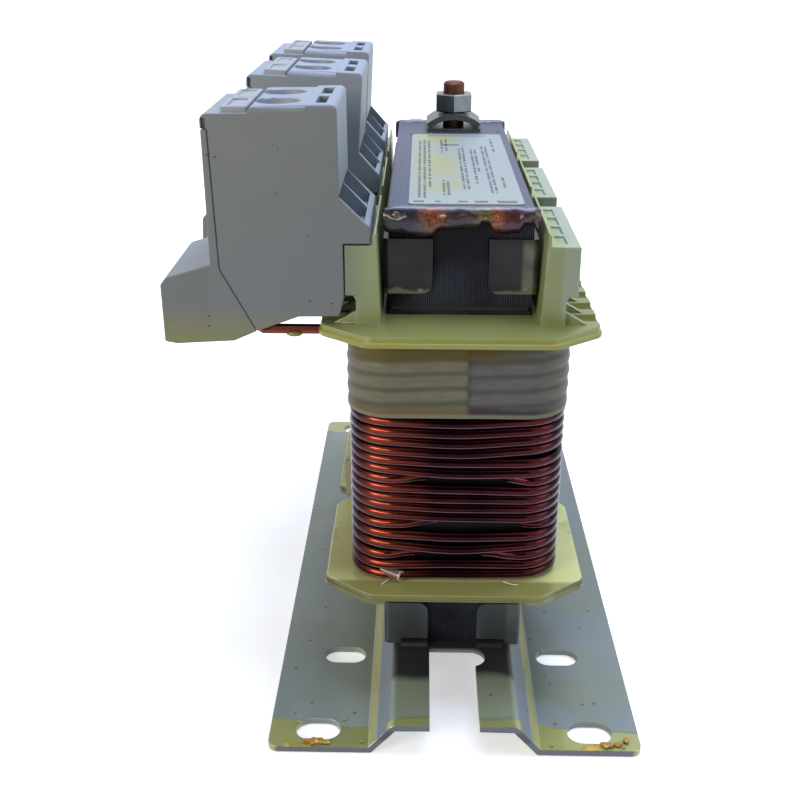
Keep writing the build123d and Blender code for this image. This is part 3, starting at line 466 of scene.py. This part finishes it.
def weldMetal():
    # weld bead with heat tints: black and navy at left, orange, olive and dark red to the right, pale rim on top as
    # painted highlight
    look = startMaterial("weldMetal", ("x", "y", "z"), {
        "tints": (3.846, 4.0), "drips": (3.333, 4.0),
        "grit": (0.7143, 3.0), "ripples": (1.4286, 3.0),
    }, Metallic=0.5, Roughness=0.38, Coat_Weight=0.35, Coat_Roughness=0.12)
    look.sources["spot"] = wander(look, "x", "tints", 5.0)
    look.sources["level"] = wander(look, "z", "drips", 2.0)
    tint = addNode(look.tree, "ShaderNodeValToRGB", links={"Fac": coverage(look, [("spot", -13.5, 18.5)])})
    heat = ((0.0, "#0d0d12"), (0.12, "#14162a"), (0.2, "#241c28"), (0.25, "#5e4238"), (0.31, "#7c4422"),
            (0.4, "#4c2a18"), (0.48, "#2c1a24"), (0.56, "#3c2c28"), (0.66, "#63592f"), (0.72, "#8a4c22"),
            (0.78, "#55201c"), (0.88, "#38202a"), (1.0, "#4a332f"))
    fitStops(tint.color_ramp, [(position, linear(colour)) for position, colour in heat])
    tone = paint(look, tint.outputs["Color"], {
        "rearWeld": ("#3c3f45", 1.0, [("y", 0.0, 20.0)]),
        "underside": ("#0c0b12", 0.9, [("level", 112.2, 109.8)]),
        "grit": ("#17121a", 0.7, [("grit", 0.42, 0.66)]),
        # the pale rim on top: painted highlight
        "rimHighlight": ("#5c6074", 0.5, [("z", 114.1, 114.6)]),
    })
    return setSurface(look, tone, "ripples", 0.5, 0.3)


def labelFilm():
    # matt silver-white label film, yellowed by varnish in its middle
    look = startMaterial("labelFilm", ("x", "y"), {"stain": (22.22, 3.0)}, Roughness=0.45, IOR=1.48)
    yellowed = [("stain", 0.25, 0.5), ("y", -46.0, -34.0), ("x", 3.0, -2.0), ("x", -11.2, -8.5)]
    return setSurface(look, layer(look, "#989f97", "#a0a06a", yellowed, 0.9))


def evenFinish(name, dark, pale, clouds, relief=None, **sockets):
    # one tone that clouds a little: clouds is (size, detail), relief is (size, detail, strength, depth), in mm
    patterns = {"clouds": clouds}
    if relief:
        patterns["grain"] = relief[:2]
    look = startMaterial(name, (), patterns, **sockets)
    body = layer(look, dark, pale, [("clouds", 0.0, 1.0)])
    return setSurface(look, body, "grain" if relief else "", *(relief or ())[2:])


def plainMetal(name, dark, pale, roughness, metallic=0.9):
    # a plated or bare metal part with fine marks
    return evenFinish(name, dark, pale, (3.333, 5.0), (3.333, 5.0, 0.25, 0.1), Metallic=metallic, Roughness=roughness)


def softSheet(name, dark, pale, roughness, size):
    # paper, board, film or set varnish, with clouds of so many mm
    return evenFinish(name, dark, pale, (size, 4.0), Roughness=roughness, IOR=1.48)


finishes = {
    "bobbin": mouldedPolyamide(),
    "terminal": greyPolyamide(),
    # white polyamide, moulded: the same matt grain without specks
    "marker": evenFinish("whitePolyamide", "#8f9495", "#9a9e9e", (11.11, 5.0), (0.4, 2.0, 0.2, 0.06),
                         Roughness=0.48, IOR=1.53),
    "wire": enamelledCopper(),
    # dipping varnish between the turns, near black as painted shade deep down, hardly any shine
    "windingGapShade": evenFinish("windingDepthShade", "#020106", "#09060c", (5.0, 3.0), Roughness=0.5, IOR=1.5,
                             Specular_IOR_Level=0.1),
    # dipping varnish that ran down each turn and set there: a thin, dull pink line over the red enamel, a painted
    # reflection
    "highlightRidge": evenFinish("highlightLine", "#4a2430", "#85555f", (8.333, 3.0), Roughness=0.35, IOR=1.5),
    "fleece": varnishedFleece(),
    "plate": rolledSteel(),
    "lamination": laminatedSteel(),
    "strap": strapSteel(),
    "weld": weldMetal(),
    "zinc": plainMetal("zincPlatedSteel", "#555b59", "#7c8280", 0.3),  # bright grey with a soft shine
    "clamp": plainMetal("tinnedSteel", "#484c50", "#6b7074", 0.35),  # darker and duller than the zinc
    "brass": plainMetal("contactBrass", "#8a7440", "#b49a58", 0.3),  # yellow, deep in the funnels
    "copper": plainMetal("threadedCopper", "#4a2c22", "#6c4436", 0.55),  # dull red-brown, tarnished
    "board": softSheet("insulatingBoard", "#a9a48c", "#bdb9a4", 0.7, 6.667),  # pressed board, matt cream
    "gap": softSheet("gapBoard", "#15161a", "#26262a", 0.5, 3.333),  # varnished board, near black
    "sleeve": softSheet("varnishedSleeve", "#5c3f38", "#86675a", 0.3, 3.333),  # glass sleeve, red-brown with varnish
    "rim": softSheet("sleeveRim", "#a08578", "#c8b4a6", 0.3, 3.333),  # its cut end, paler
    "label": labelFilm(),
    "print": softSheet("labelInk", "#4c5558", "#626b6c", 0.5, 5.0),  # thin grey ink
    "amber": softSheet("amberVarnish", "#8a7a3a", "#a89a5a", 0.12, 5.0),  # thick glossy drop, yellow-brown
    "clear": softSheet("clearVarnish", "#8c8d52", "#a9aa78", 0.08, 5.0),  # thin glossy drop, pale olive
    "deepAmber": softSheet("deepAmberVarnish", "#a07612", "#c8992a", 0.12, 2.0),  # thickest drops, orange
    "spatter": plainMetal("weldSpatter", "#2c2820", "#6d664f", 0.35),  # a bead of dull brown steel
    "thread": softSheet("flangeGlint", "#d8dcd0", "#f0f2ea", 0.2, 5.0),  # hair-thin and white with scatter: painted highlight
    "scorched": plainMetal("scorchedSteel", "#0b0b0f", "#1f2024", 0.4, metallic=0.5),  # black scale
}
print("materials ready:", len(finishes))


# CAD nodes by finish; a name that ends in _ stands for one node at each leg
dressing = {
    "plate": ["base_plate"], "lamination": ["core_legs", "core_top_yoke"], "gap": ["gap_spacer_"],
    "strap": ["bracket_upper_left", "bracket_upper_right", "bracket_lower_left", "bracket_lower_right"],
    "weld": ["weld_front", "weld_rear"], "scorched": ["foot_welds"], "bobbin": ["bobbin_"],
    "wire": ["winding_", "start_leads", "finish_leads"], "fleece": ["tape_band_"], "sleeve": ["coil_end_sleeve"],
    "terminal": ["terminal_body_", "terminal_cover_"], "marker": ["marker_tabs"],
    "clamp": ["clamp_cages", "saddle_clamp"], "brass": ["contact_bars"],
    "zinc": ["terminal_screws", "square_washer", "earth_nut"], "copper": ["earth_stud"],
    "label": ["nameplate"], "board": ["insulation_strip"],
}
for finish, stems in dressing.items():
    for name in [stem + place for stem in stems for place in (legs if stem.endswith("_") else [""])]:
        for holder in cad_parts[name].material_slots:
            holder.link = "OBJECT"
            holder.material = finishes[finish]
print("CAD nodes dressed")


# windings: one long wire of round turns, a helix round a rounded rectangle
winding = {
    "halfX": 22.8, "halfY": 18.8, "corner": 8.4,  # the wire's centre line
    "wire": 2.3, "pitch": 2.38, "lowest": 31.5, "floor": 31.45, "turns": 17, "climb": 1.2,
    "cornerSteps": 8, "straightStep": 3.0,
    "wander": 0.14, "waves": 0.06, "unlike": 0.9,  # how far a turn strays, how often, how unlike the next one
    "drift": 0.22, "settle": 0.12,  # how far a turn lies off its place, and how much of that the next one loses
    "sunk": 0.06,  # how far turns lie inside the centre line, more or less
    "ridge": 0.17, "ridgeOut": 0.84, "ridgeDown": 0.74,  # pale thread along the lower side of each turn, a painted reflection
    "frontFrom": 4.0, "frontFull": 13.0,  # the heights below hold this far before the coil's middle
    "faceReach": 19.0,  # X of the left and right heights
    # heights of the front coil's turns, top to bottom, at the left, middle and right of its face
    "left": (69.6, 67.2, 65.1, 62.7, 60.5, 58.3, 55.9, 53.7, 51.4, 49.4, 47.1, 44.6, 42.1, 39.5, 36.6, 34.0, 31.4),
    "middle": (69.1, 66.7, 64.3, 61.95, 59.8, 57.1, 55.5, 53.3, 50.95, 48.6, 46.35, 45.0, 41.3, 38.1, 36.4, 34.5,
               31.7),
    "right": (70.0, 67.7, 65.5, 63.2, 60.0, 57.5, 55.3, 53.0, 50.9, 48.7, 46.3, 44.0, 41.8, 39.4, 36.9, 34.5, 32.1),
    # turns that slipped into the layer below: from where to where along X, and how deep
    "slipped": {6: (-9.0, 13.0, 2.3), 11: (-7.0, 17.0, 2.3), 14: (-12.0, 9.0, 2.2)},
    "slipShort": 3.0, "slipLong": 5.0,  # how far inside and outside that stretch the slip starts and ends
    # varnish behind the turns, near black as painted shade deep in the winding
    "ground": {"halfX": 21.6, "halfY": 17.6, "corner": 7.2, "steps": 7, "low": 30.3, "high": 72.0},
}


def roundPath():
    # one turn seen from above, anticlockwise from its rear right corner: points and outward directions
    path = []
    corner = winding["corner"]
    straightX, straightY = winding["halfX"] - corner, winding["halfY"] - corner
    for sx, sy, start in ((1, 1, 0), (-1, 1, 90), (-1, -1, 180), (1, -1, 270)):
        for step in range(winding["cornerSteps"] + 1):
            angle = math.radians(start + 90 * step / winding["cornerSteps"])
            out = Vector((math.cos(angle), math.sin(angle)))
            path.append((Vector((sx * straightX, sy * straightY)) + corner * out, out))
        run = 2 * (straightX if start in (0, 180) else straightY)
        onward = Vector((-out.y, out.x))
        pieces = max(2, round(run / winding["straightStep"]))
        arcEnd = path[-1][0]
        path += [(arcEnd + onward * run * step / pieces, out) for step in range(1, pieces)]
    return path


def faceHeight(row, x):
    # height of a turn of the front coil at x, between the heights at left, middle and right
    reach = winding["faceReach"]
    left, middle, right = (winding[side][row] for side in ("left", "middle", "right"))
    if x < 0:
        return left + (middle - left) * ease(x, -reach, 0)
    return middle + (right - middle) * ease(x, 0, reach)


def windingPoints(place, centreY, seed):
    # the wire's centre line with the outward direction at each point, bottom to top
    points = []
    turn = roundPath()
    drift = 0.0
    waves, sunk = winding["waves"], winding["sunk"]
    for number in range(winding["turns"]):
        row = winding["turns"] - 1 - number
        push = noise.noise(Vector((seed * 3.1, number * 1.7, 0.0)))
        drift += winding["drift"] * push - winding["settle"] * drift
        for index, (spot, out) in enumerate(turn):
            here = Vector((spot.x * waves, spot.y * waves, number * winding["unlike"] + seed))
            inward = sunk + sunk * noise.noise(here + Vector((7, 3, 1)))
            z = winding["lowest"] + winding["pitch"] * number + winding["climb"] * index / len(turn) + drift
            z += winding["wander"] * noise.noise(here)
            if place == "front":
                front = ease(-spot.y, winding["frontFrom"], winding["frontFull"])
                z += (faceHeight(row, spot.x) - z) * front
                if row in winding["slipped"] and front > 0.5:
                    start, end, depth = winding["slipped"][row]
                    short, long = winding["slipShort"], winding["slipLong"]
                    slipping = ease(spot.x, start - long, start + short)
                    inward += depth * slipping * (1 - ease(spot.x, end - short, end + long))
            flat = spot - out * inward
            points.append((Vector((flat.x, centreY + flat.y, max(z, winding["floor"]))), out.to_3d()))
    return points


def wireCurve(name, points, radius, finish, replaced=()):
    # a round wire through points in mm
    curve = bpy.data.curves.new(name, "CURVE")
    curve.dimensions = "3D"
    curve.bevel_depth = radius * mm
    curve.bevel_resolution = 4 if radius > 0.5 else 1  # a thread needs few sides
    curve.use_fill_caps = True
    spline = curve.splines.new("POLY")
    spline.points.add(len(points) - 1)
    for point, spot in zip(spline.points, points):
        point.co = [c * mm for c in spot] + [1.0]
    addPiece(name, curve, finish, replaced)


for seed, (place, centreY) in enumerate(legs.items()):
    turns = windingPoints(place, centreY, seed + 1.0)
    wireCurve("windingWire_" + place, [spot for spot, out in turns], winding["wire"] / 2, "wire",
              ("winding_" + place,))
    # a pale thread along each turn's lower side: painted reflection
    beside = [spot + out * winding["ridgeOut"] - Vector((0, 0, winding["ridgeDown"])) for spot, out in turns]
    wireCurve("highlightRidge_" + place, beside, winding["ridge"], "highlightRidge")
    ground = roundedBlock(winding["ground"], centreY)
    finishPiece(ground, "windingGround_" + place, "windingGapShade", ("winding_" + place,))
print("windings wound")


# tape: fleece wound over the coil's upper part, its wraps showing as soft ridges, swollen with varnish
tape = {
    "halfX": 24.45, "halfY": 20.45, "corner": 9.9, "steps": 10, "low": 70.8, "high": 88.7,
    "rowStep": 0.45, "rows": 39, "columnStep": 2.25, "columnsHalf": (6, 4),  # cuts that let the band be shaped
    "overlap": 2.1, "overlapEdge": 0.15,  # X of the place on the front where the outermost wrap ends
    "wraps": ((72.6, 0.2), (76.2, 0.25), (79.6, 0.3), (82.9, 0.25), (86.4, 0.2)),  # height and rise of each ridge
    "ridgeWidth": 0.95, "lean": 0.04, "step": 1.2,  # the ridges lean to the right and step down past the overlap
    "sunk": 0.34, "pastOverlap": 0.16,  # how far the band's face lies inside the CAD band
    # unevenness, with its waves per mm, and the lift at which a groove's painted shade is gone
    "crease": 0.015, "creases": (0.12, 0.12, 0.45), "fine": 0.03, "fineWaves": (0.5, 0.5, 1.1), "grooveFade": 0.16,
}
for seed, (place, centreY) in enumerate(legs.items()):
    band = roundedBlock(tape, centreY)
    overlap, edge = tape["overlap"], tape["overlapEdge"]
    columns = [[tape["columnStep"] * k for k in range(-half, half + 1)] for half in tape["columnsHalf"]]
    cutAcross(band, 2, [tape["low"] + tape["rowStep"] * k for k in range(1, tape["rows"] + 1)])
    cutAcross(band, 0, [overlap - edge, overlap + edge] + columns[0])
    cutAcross(band, 1, [centreY + y for y in columns[1]])
    grooveShade = band.verts.layers.float.new("groove")
    for vert in band.verts:
        flat = Vector((vert.co.x, vert.co.y - centreY * mm, 0)) / mm
        level = vert.co.z / mm
        side = 1 if flat.x > overlap and flat.y < 0 else 0
        along = level - tape["lean"] * flat.x + tape["step"] * side
        lift = max(rise * math.exp(-((along - ridge) / tape["ridgeWidth"]) ** 2) for ridge, rise in tape["wraps"])
        here = Vector((flat.x, flat.y, level))
        crease = noise.noise(here * Vector(tape["creases"]) + Vector((0, 0, seed * 9)))
        fine = noise.noise(here * Vector(tape["fineWaves"]) + Vector((0, 0, seed * 5)))
        vert[grooveShade] = max(0.0, 1.0 - lift / tape["grooveFade"])
        inward = tape["sunk"] - lift + tape["pastOverlap"] * side
        inward += tape["crease"] * (1 - crease) + tape["fine"] * fine
        vert.co -= flat.normalized() * max(inward, 0.0) * mm
    finishPiece(band, "tapeBand_" + place, "fleece", ("tape_band_" + place,))
print("tape wound")


# weld beads over the upper yoke's ends: lumpy, kept inside the solid that they replace
weld = {
    "rows": 110, "round": 28, "lump": 0.5, "lumpsPerMetre": (260, 200, 200), "fineLumps": (2.3, 0.5),
    "taper": 2.0, "taperedTo": 0.78,  # the last mm at each end thin out to this share
    # how far the underside stops short of the solid's, along X: (X, height), all in mm
    "underside": ((-16.3, 3.6), (-14.5, 3.6), (-11.5, 2.9), (-6.4, 2.85), (-4.5, 4.4), (2.0, 4.6), (3.4, 4.9),
                  (4.2, 6.0), (5.6, 6.0), (6.6, 4.2), (8.9, 3.6), (12.0, 3.9), (13.0, 5.6), (15.0, 5.6),
                  (15.6, 3.9), (16.3, 3.5)),
}


def heightAlong(pairs, x):
    # the height of a row of (x, height) pairs at x
    for (x0, h0), (x1, h1) in zip(pairs, pairs[1:]):
        if x <= x1:
            return h0 + (h1 - h0) * ease(x, x0, x1)
    return pairs[-1][1]


for place, side in (("front", -1), ("rear", 1)):
    low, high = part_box("weld_" + place)
    half = (high - low) / 2
    middle = (high + low) / 2
    bead = bmesh.new()
    bmesh.ops.create_cone(bead, cap_ends=True, segments=weld["round"], radius1=1.0, radius2=1.0, depth=2.0)
    bmesh.ops.rotate(bead, cent=(0, 0, 0), matrix=Matrix.Rotation(math.pi / 2, 3, "Y"), verts=bead.verts)
    bmesh.ops.scale(bead, vec=half, verts=bead.verts)
    bmesh.ops.translate(bead, vec=middle, verts=bead.verts)
    cutAcross(bead, 0, [(low.x + (high.x - low.x) * k / weld["rows"]) / mm for k in range(1, weld["rows"])])
    for vert in bead.verts:
        away = Vector((0, vert.co.y - middle.y, vert.co.z - middle.z))
        spot = vert.co * Vector(weld["lumpsPerMetre"])
        finer, share = weld["fineLumps"]
        lump = noise.noise(spot) + share * noise.noise(spot * finer)
        end = min(1.0, (half.x - abs(vert.co.x - middle.x)) / (weld["taper"] * mm))
        shrink = weld["taperedTo"] + (1 - weld["taperedTo"]) * math.sqrt(max(end, 0.0))
        vert.co += away * (shrink - 1) + away.normalized() * lump * weld["lump"] * mm
        gap = heightAlong(weld["underside"], -side * vert.co.x / mm) * mm
        vert.co.z = high.z - (high.z - vert.co.z) * (1 - gap / (2 * half.z))
        vert.co = [min(max(c, a), b) for c, a, b in zip(vert.co, low, high)]
    finishPiece(bead, "weldBead_" + place, "weld", ("weld_" + place,), smooth=60.0)
print("welds laid")


# how wide the edges are eased, mm
eased = {"bobbin": 0.15, "terminal": 0.2, "plate": 0.12, "marker": 0.3}
for place in legs:
    easedCopy("bobbin_" + place, "bobbinMoulding_" + place, eased["bobbin"], "bobbin")
    for part in ("body", "cover"):
        easedCopy("terminal_" + part + "_" + place, "terminal" + part.capitalize() + "_" + place,
                  eased["terminal"], "terminal")
easedCopy("base_plate", "basePlate", eased["plate"], "plate")
easedCopy("marker_tabs", "markerTabs", eased["marker"], "marker", segments=2)
print("edges eased")


# print on the label: plain rows of dashes, no lettering
label = {
    "top": 114.23, "line": 0.62, "lineVaries": (0.8, 1.1), "dash": (0.5, 2.6), "gaps": (0.35, 0.35, 0.5, 1.6),
    # X of each row, and from where to where it runs along Y
    "rows": ((-8.9, -47, 22), (-7.7, -47, 22), (-6.5, -36, 22), (-3.4, -44, -30), (-2.4, -44, -30), (-3.2, 6, 24),
             (-2.0, 8, 24), (1.2, -38, 12), (2.2, -38, 12), (4.3, -32, 10), (5.3, -18, 10), (7.2, -42, 14),
             (8.2, -42, 14), (10.3, -36, -26), (10.2, 8, 26)),
    # plain bars along the front edge and two by the rear end: X, Y, width, depth
    "bars": ((-9.0, -50.3, 2.2, 1.5), (-4.9, -50.3, 1.2, 1.2), (0.4, -50.3, 2.0, 1.3), (4.3, -50.4, 2.8, 1.7),
             (9.8, -50.4, 4.2, 2.0), (-0.8, 17.0, 4.6, 1.6), (1.2, 31.2, 16.0, 0.9)),
}
ink = bmesh.new()
chance = random.Random(7)


def printBar(x, y, width, depth):
    made = bmesh.ops.create_grid(ink, x_segments=1, y_segments=1, size=0.5)["verts"]
    bmesh.ops.scale(ink, vec=(width * mm, depth * mm, 1), verts=made)
    bmesh.ops.translate(ink, vec=Vector((x, y, label["top"])) * mm, verts=made)


for x, start, end in label["rows"]:
    y = start
    while y < end:
        run = chance.uniform(*label["dash"])
        printBar(x, y + run / 2, label["line"] * chance.uniform(*label["lineVaries"]), run)
        y += run + chance.choice(label["gaps"])
for bar in label["bars"]:
    printBar(*bar)
finishPiece(ink, "labelPrint", "print")


# drops and dots: finish, slot, how lumpy, and spots of (X, Y, Z, width, depth, height), mm; several are numbered
specks = ((-37.5, 128.2), (-31.3, 96.3), (-26.8, 95.8), (-52.7, 90.6), (-52.5, 92.8), (-50.9, 126.3),
          (-49.3, 125.9))  # X and Z on the front terminal block's face
drops = {
    "yokeDotLeft": ("gap", "lamination_steel", 0, [(-11.3, 34.8, 114.0, 1.3, 1.3, 0.3)]),
    "yokeDotRight": ("gap", "lamination_steel", 0, [(13.1, 39.6, 114.0, 1.3, 1.3, 0.3)]),
    "weldSpatter": ("spatter", "weld_metal", 0, [(-13.7, -58.0, 113.0, 2.1, 1.2, 1.6)]),
    "ejectorMark": ("terminal", "terminal_plastic", 0, [(-37.2, -64.2, 127.9, 0.9, 0.16, 0.9)]),
    "speck": ("gap", "terminal_plastic", 0, [(x, -64.2, z, 0.5, 0.08, 0.4) for x, z in specks]),
    "leadDrop": ("amber", "enamelled_wire", 0, [(-35.4, -59.0, 87.3, 3.4, 1.6, 1.3)]),
    # varnish that set in drops on the feet: clear at the puddles' shores, amber in front of the slots
    "clearDrop": ("clear", "plated_steel", 0, [
        (-24.6, -79.5, 2.0, 0.9, 0.6, 0.5), (23.2, -79.5, 2.0, 0.9, 0.6, 0.5), (21.5, -87.3, 2.0, 0.9, 0.7, 0.5),
        (37.3, -87.4, 2.0, 0.8, 0.7, 0.5), (-20.3, -86.9, 2.0, 1.4, 0.5, 0.4), (-35.0, -80.6, 2.0, 1.6, 0.5, 0.4)]),
    "amberDrop": ("deepAmber", "plated_steel", 0.9, [
        (-30.6, -87.0, 2.0, 3.6, 1.5, 0.7), (-28.4, -87.3, 2.0, 2.4, 0.9, 0.5), (-33.0, -87.0, 2.0, 2.2, 1.0, 0.5),
        (33.9, -87.0, 2.0, 3.4, 1.4, 0.7), (36.3, -86.7, 2.0, 2.2, 1.1, 0.5), (38.2, -85.4, 2.0, 1.0, 2.0, 0.5)]),
}


def smallDrop(name, finish, lumps, spot):
    # a sphere pressed to size, its outline pulled in and out by lumps
    bm = bmesh.new()
    bmesh.ops.create_uvsphere(bm, u_segments=20, v_segments=12, radius=0.5)
    bmesh.ops.scale(bm, vec=Vector(spot[3:]) * mm, verts=bm.verts)
    bmesh.ops.translate(bm, vec=Vector(spot[:3]) * mm, verts=bm.verts)
    for vert in bm.verts:
        at = vert.co / mm
        pull = Vector((noise.noise(at * 1.3), noise.noise(at * 1.3 + Vector((5, 9, 2))),
                       0.3 * noise.noise(at * 2.0)))
        vert.co += pull * lumps * mm
    finishPiece(bm, name, finish, smooth=180.0)


for name, (finish, slot, lumps, spots) in drops.items():
    for number, spot in enumerate(spots):
        smallDrop(name + "_" + str(number) if len(spots) > 1 else name, finish, lumps, spot)

# sleeve over the end of the front winding, its open end to the right
tube = {
    "from": (-16.6, -63.9, 32.0), "to": (-12.1, -66.4, 31.7), "wall": 0.3,
    "parts": {"coilSleeve": (0.0, 0.93, 1.15, "sleeve"), "coilSleeveRim": (0.9, 1.0, 1.21, "rim")},  # share, radius
}
start, end = Vector(tube["from"]) * mm, Vector(tube["to"]) * mm
length = (end - start).length
towards = (end - start).to_track_quat("Z", "Y").to_matrix()
for name, (low, high, radius, finish) in tube["parts"].items():
    bm = bmesh.new()
    bmesh.ops.create_cone(bm, cap_ends=False, segments=24, radius1=radius * mm, radius2=radius * mm,
                          depth=length * (high - low))
    bmesh.ops.solidify(bm, geom=bm.faces[:], thickness=tube["wall"] * mm)
    bmesh.ops.translate(bm, vec=(0, 0, length * (low + high) / 2), verts=bm.verts)
    bmesh.ops.rotate(bm, cent=(0, 0, 0), matrix=towards, verts=bm.verts)
    bmesh.ops.translate(bm, vec=start, verts=bm.verts)
    finishPiece(bm, name, finish, ("coil_end_sleeve",))

# white threads that stand off the lower flange beside the coil: painted highlights on the edges of varnish puddles
threads = {
    "radius": 0.14,
    "left": ((-17.4, -62.4, 31.0), (-16.2, -64.2, 30.7), (-14.8, -65.8, 30.6), (-15.9, -67.0, 30.5),
             (-16.6, -67.8, 30.4)),
    "right": ((11.0, -66.8, 30.9), (12.4, -67.4, 30.7), (13.4, -67.6, 30.6), (14.4, -67.3, 30.5)),
}
for side in ("left", "right"):
    wireCurve("highlightLine_" + side, threads[side], threads["radius"], "thread")
print("small marks laid")


# stage: pale floor, plain world, soft lamps
stage = {
    "floor": 8.0, "floorDrop": 0.0002,  # metres; it lies a hair below the feet
    "floorLit": "#f4f4f4", "floorBounce": "#a8a8a6",  # as seen, and as it lights the object
    "glow": 0.5, "glowReach": (0.15, 0.6),  # the floor's own white beside the object, and where it grows to 1
    "ambient": "#e6ecf5", "ambientStrength": 0.27,
    "aim": (0, 0, 0.07),
}


def seenShare(tree):
    # 1 where the camera looks straight at it, in gloss or through glass, 0 where it lights the object
    rays = addNode(tree, "ShaderNodeLightPath")
    seen = rays.outputs["Is Camera Ray"]
    for ray in ("Is Glossy Ray", "Is Transmission Ray"):
        seen = addNode(tree, "ShaderNodeMath", {"operation": "MAXIMUM"}, {0: seen, 1: rays.outputs[ray]}).outputs[0]
    return seen


def paleFloor():
    # the floor keeps the shadow: part lit, part shown white by itself
    material = bpy.data.materials.new("paleFloor")
    material.use_nodes = True
    tree = material.node_tree
    tree.nodes.clear()
    place = addNode(tree, "ShaderNodeTexCoord").outputs["Object"]
    away = addNode(tree, "ShaderNodeVectorMath", {"operation": "LENGTH"}, {0: place})
    near, far = stage["glowReach"]
    spread = addNode(tree, "ShaderNodeMapRange", {"From Min": near, "From Max": far, "To Min": stage["glow"]},
                     {"Value": away.outputs["Value"]})
    bounce = addNode(tree, "ShaderNodeBsdfDiffuse", {"Color": linear(stage["floorBounce"])})
    lit = addNode(tree, "ShaderNodeBsdfDiffuse", {"Color": linear(stage["floorLit"])})
    glow = addNode(tree, "ShaderNodeEmission", {"Color": (1, 1, 1, 1)}, {"Strength": spread.outputs["Result"]})
    both = addNode(tree, "ShaderNodeAddShader", links={0: lit.outputs[0], 1: glow.outputs[0]})
    mix = addNode(tree, "ShaderNodeMixShader", links={0: seenShare(tree), 1: bounce.outputs[0], 2: both.outputs[0]})
    addNode(tree, "ShaderNodeOutputMaterial", links={"Surface": mix.outputs[0]})
    return material


def stageSheet(name, width, height, turned, material):
    # a flat sheet that isn't part of the object, in metres
    bm = bmesh.new()
    bmesh.ops.create_grid(bm, x_segments=1, y_segments=1, size=0.5)
    bmesh.ops.scale(bm, vec=(width, height, 1), verts=bm.verts)
    bmesh.ops.transform(bm, matrix=turned, verts=bm.verts)
    mesh = bpy.data.meshes.new(name)
    bm.to_mesh(mesh)
    bm.free()
    mesh.materials.append(material)
    sheet = addObject(name, mesh)
    return sheet


stageSheet("floor", stage["floor"], stage["floor"], Matrix.Translation((0, 0, -stage["floorDrop"])), paleFloor())

world = bpy.context.scene.world = bpy.data.worlds.new("studio")
world.use_nodes = True
sky = world.node_tree
sky.nodes.clear()
backdrop = addNode(sky, "ShaderNodeBackground", {"Color": (1, 1, 1, 1)})
ambient = addNode(sky, "ShaderNodeBackground",
                  {"Color": linear(stage["ambient"]), "Strength": stage["ambientStrength"]})
mix = addNode(sky, "ShaderNodeMixShader", links={0: seenShare(sky), 1: ambient.outputs[0], 2: backdrop.outputs[0]})
addNode(sky, "ShaderNodeOutputWorld", links={"Surface": mix.outputs[0]})

lamps = {
    "overhead": {"place": (0.05, 0.1, 0.75), "size": 0.55, "power": 7.3, "tint": "#cbdaff"},
    "leftFront": {"place": (-0.6, -0.6, 0.35), "size": 0.25, "power": 3.0, "tint": "#fff4e8"},
    "rightFill": {"place": (0.8, -0.3, 0.45), "size": 0.5, "power": 2.8, "tint": "#dde8ff"},
}
for name, lamp in lamps.items():
    light = bpy.data.lights.new(name, "AREA")
    light.shape = "SQUARE"
    light.size = lamp["size"]
    light.energy = lamp["power"]
    light.color = linear(lamp["tint"])[:3]
    holder = addObject(name, light)
    holder.location = lamp["place"]
    holder.rotation_euler = (Vector(stage["aim"]) - Vector(lamp["place"])).to_track_quat("-Z", "Y").to_euler()

# cards that only gloss sees: a dark one in front, and a bright strip at the left that gives each turn its glint
cards = {
    "darkCard": {"paper": "blackPaper", "width": 0.5, "height": 0.8, "place": (0.02, -0.62, 0.40),
                 "towards": (0.02, 0.0, 0.40), "tone": "#1c1f26", "strength": 0.0},
    "glintCard": {"paper": "litPaper", "width": 0.44, "height": 0.055, "place": (-0.27, -0.44, 0.22),
                  "towards": (0, -0.05, 0.06), "tone": "#fff0e0", "strength": 24.0},
}
for name, card in cards.items():
    paper = bpy.data.materials.new(card["paper"])
    paper.use_nodes = True
    if card["strength"]:
        paper.node_tree.nodes.clear()
        shine = addNode(paper.node_tree, "ShaderNodeEmission",
                        {"Color": linear(card["tone"]), "Strength": card["strength"]})
        addNode(paper.node_tree, "ShaderNodeOutputMaterial", links={"Surface": shine.outputs[0]})
    else:
        matt = paper.node_tree.nodes["Principled BSDF"]
        matt.inputs["Base Color"].default_value = linear(card["tone"])
        matt.inputs["Roughness"].default_value = 0.9
    turned = (Vector(card["towards"]) - Vector(card["place"])).to_track_quat("Z", "Y").to_matrix().to_4x4()
    sheet = stageSheet(name, card["width"], card["height"], Matrix.Translation(card["place"]) @ turned, paper)
    sheet.visible_camera = False
    sheet.visible_diffuse = False
    sheet.visible_shadow = False

shot = {"place": (-0.008447, -0.287439, 0.167883), "turns": ((0.0185, "Z"), (1.1736963, "X"), (0.003, "Z")),
        "lens": 50.764}
cameraData = bpy.data.cameras.new("camera")
cameraData.lens = shot["lens"]
cameraData.sensor_fit = "HORIZONTAL"
cameraData.clip_start = 0.01
camera = addObject("camera", cameraData)
camera.matrix_world = Matrix.Translation(shot["place"])
for angle, axis in shot["turns"]:
    camera.matrix_world @= Matrix.Rotation(angle, 4, axis)
bpy.context.scene.camera = camera
bpy.context.scene.view_settings.view_transform = "Standard"
print("stage set")
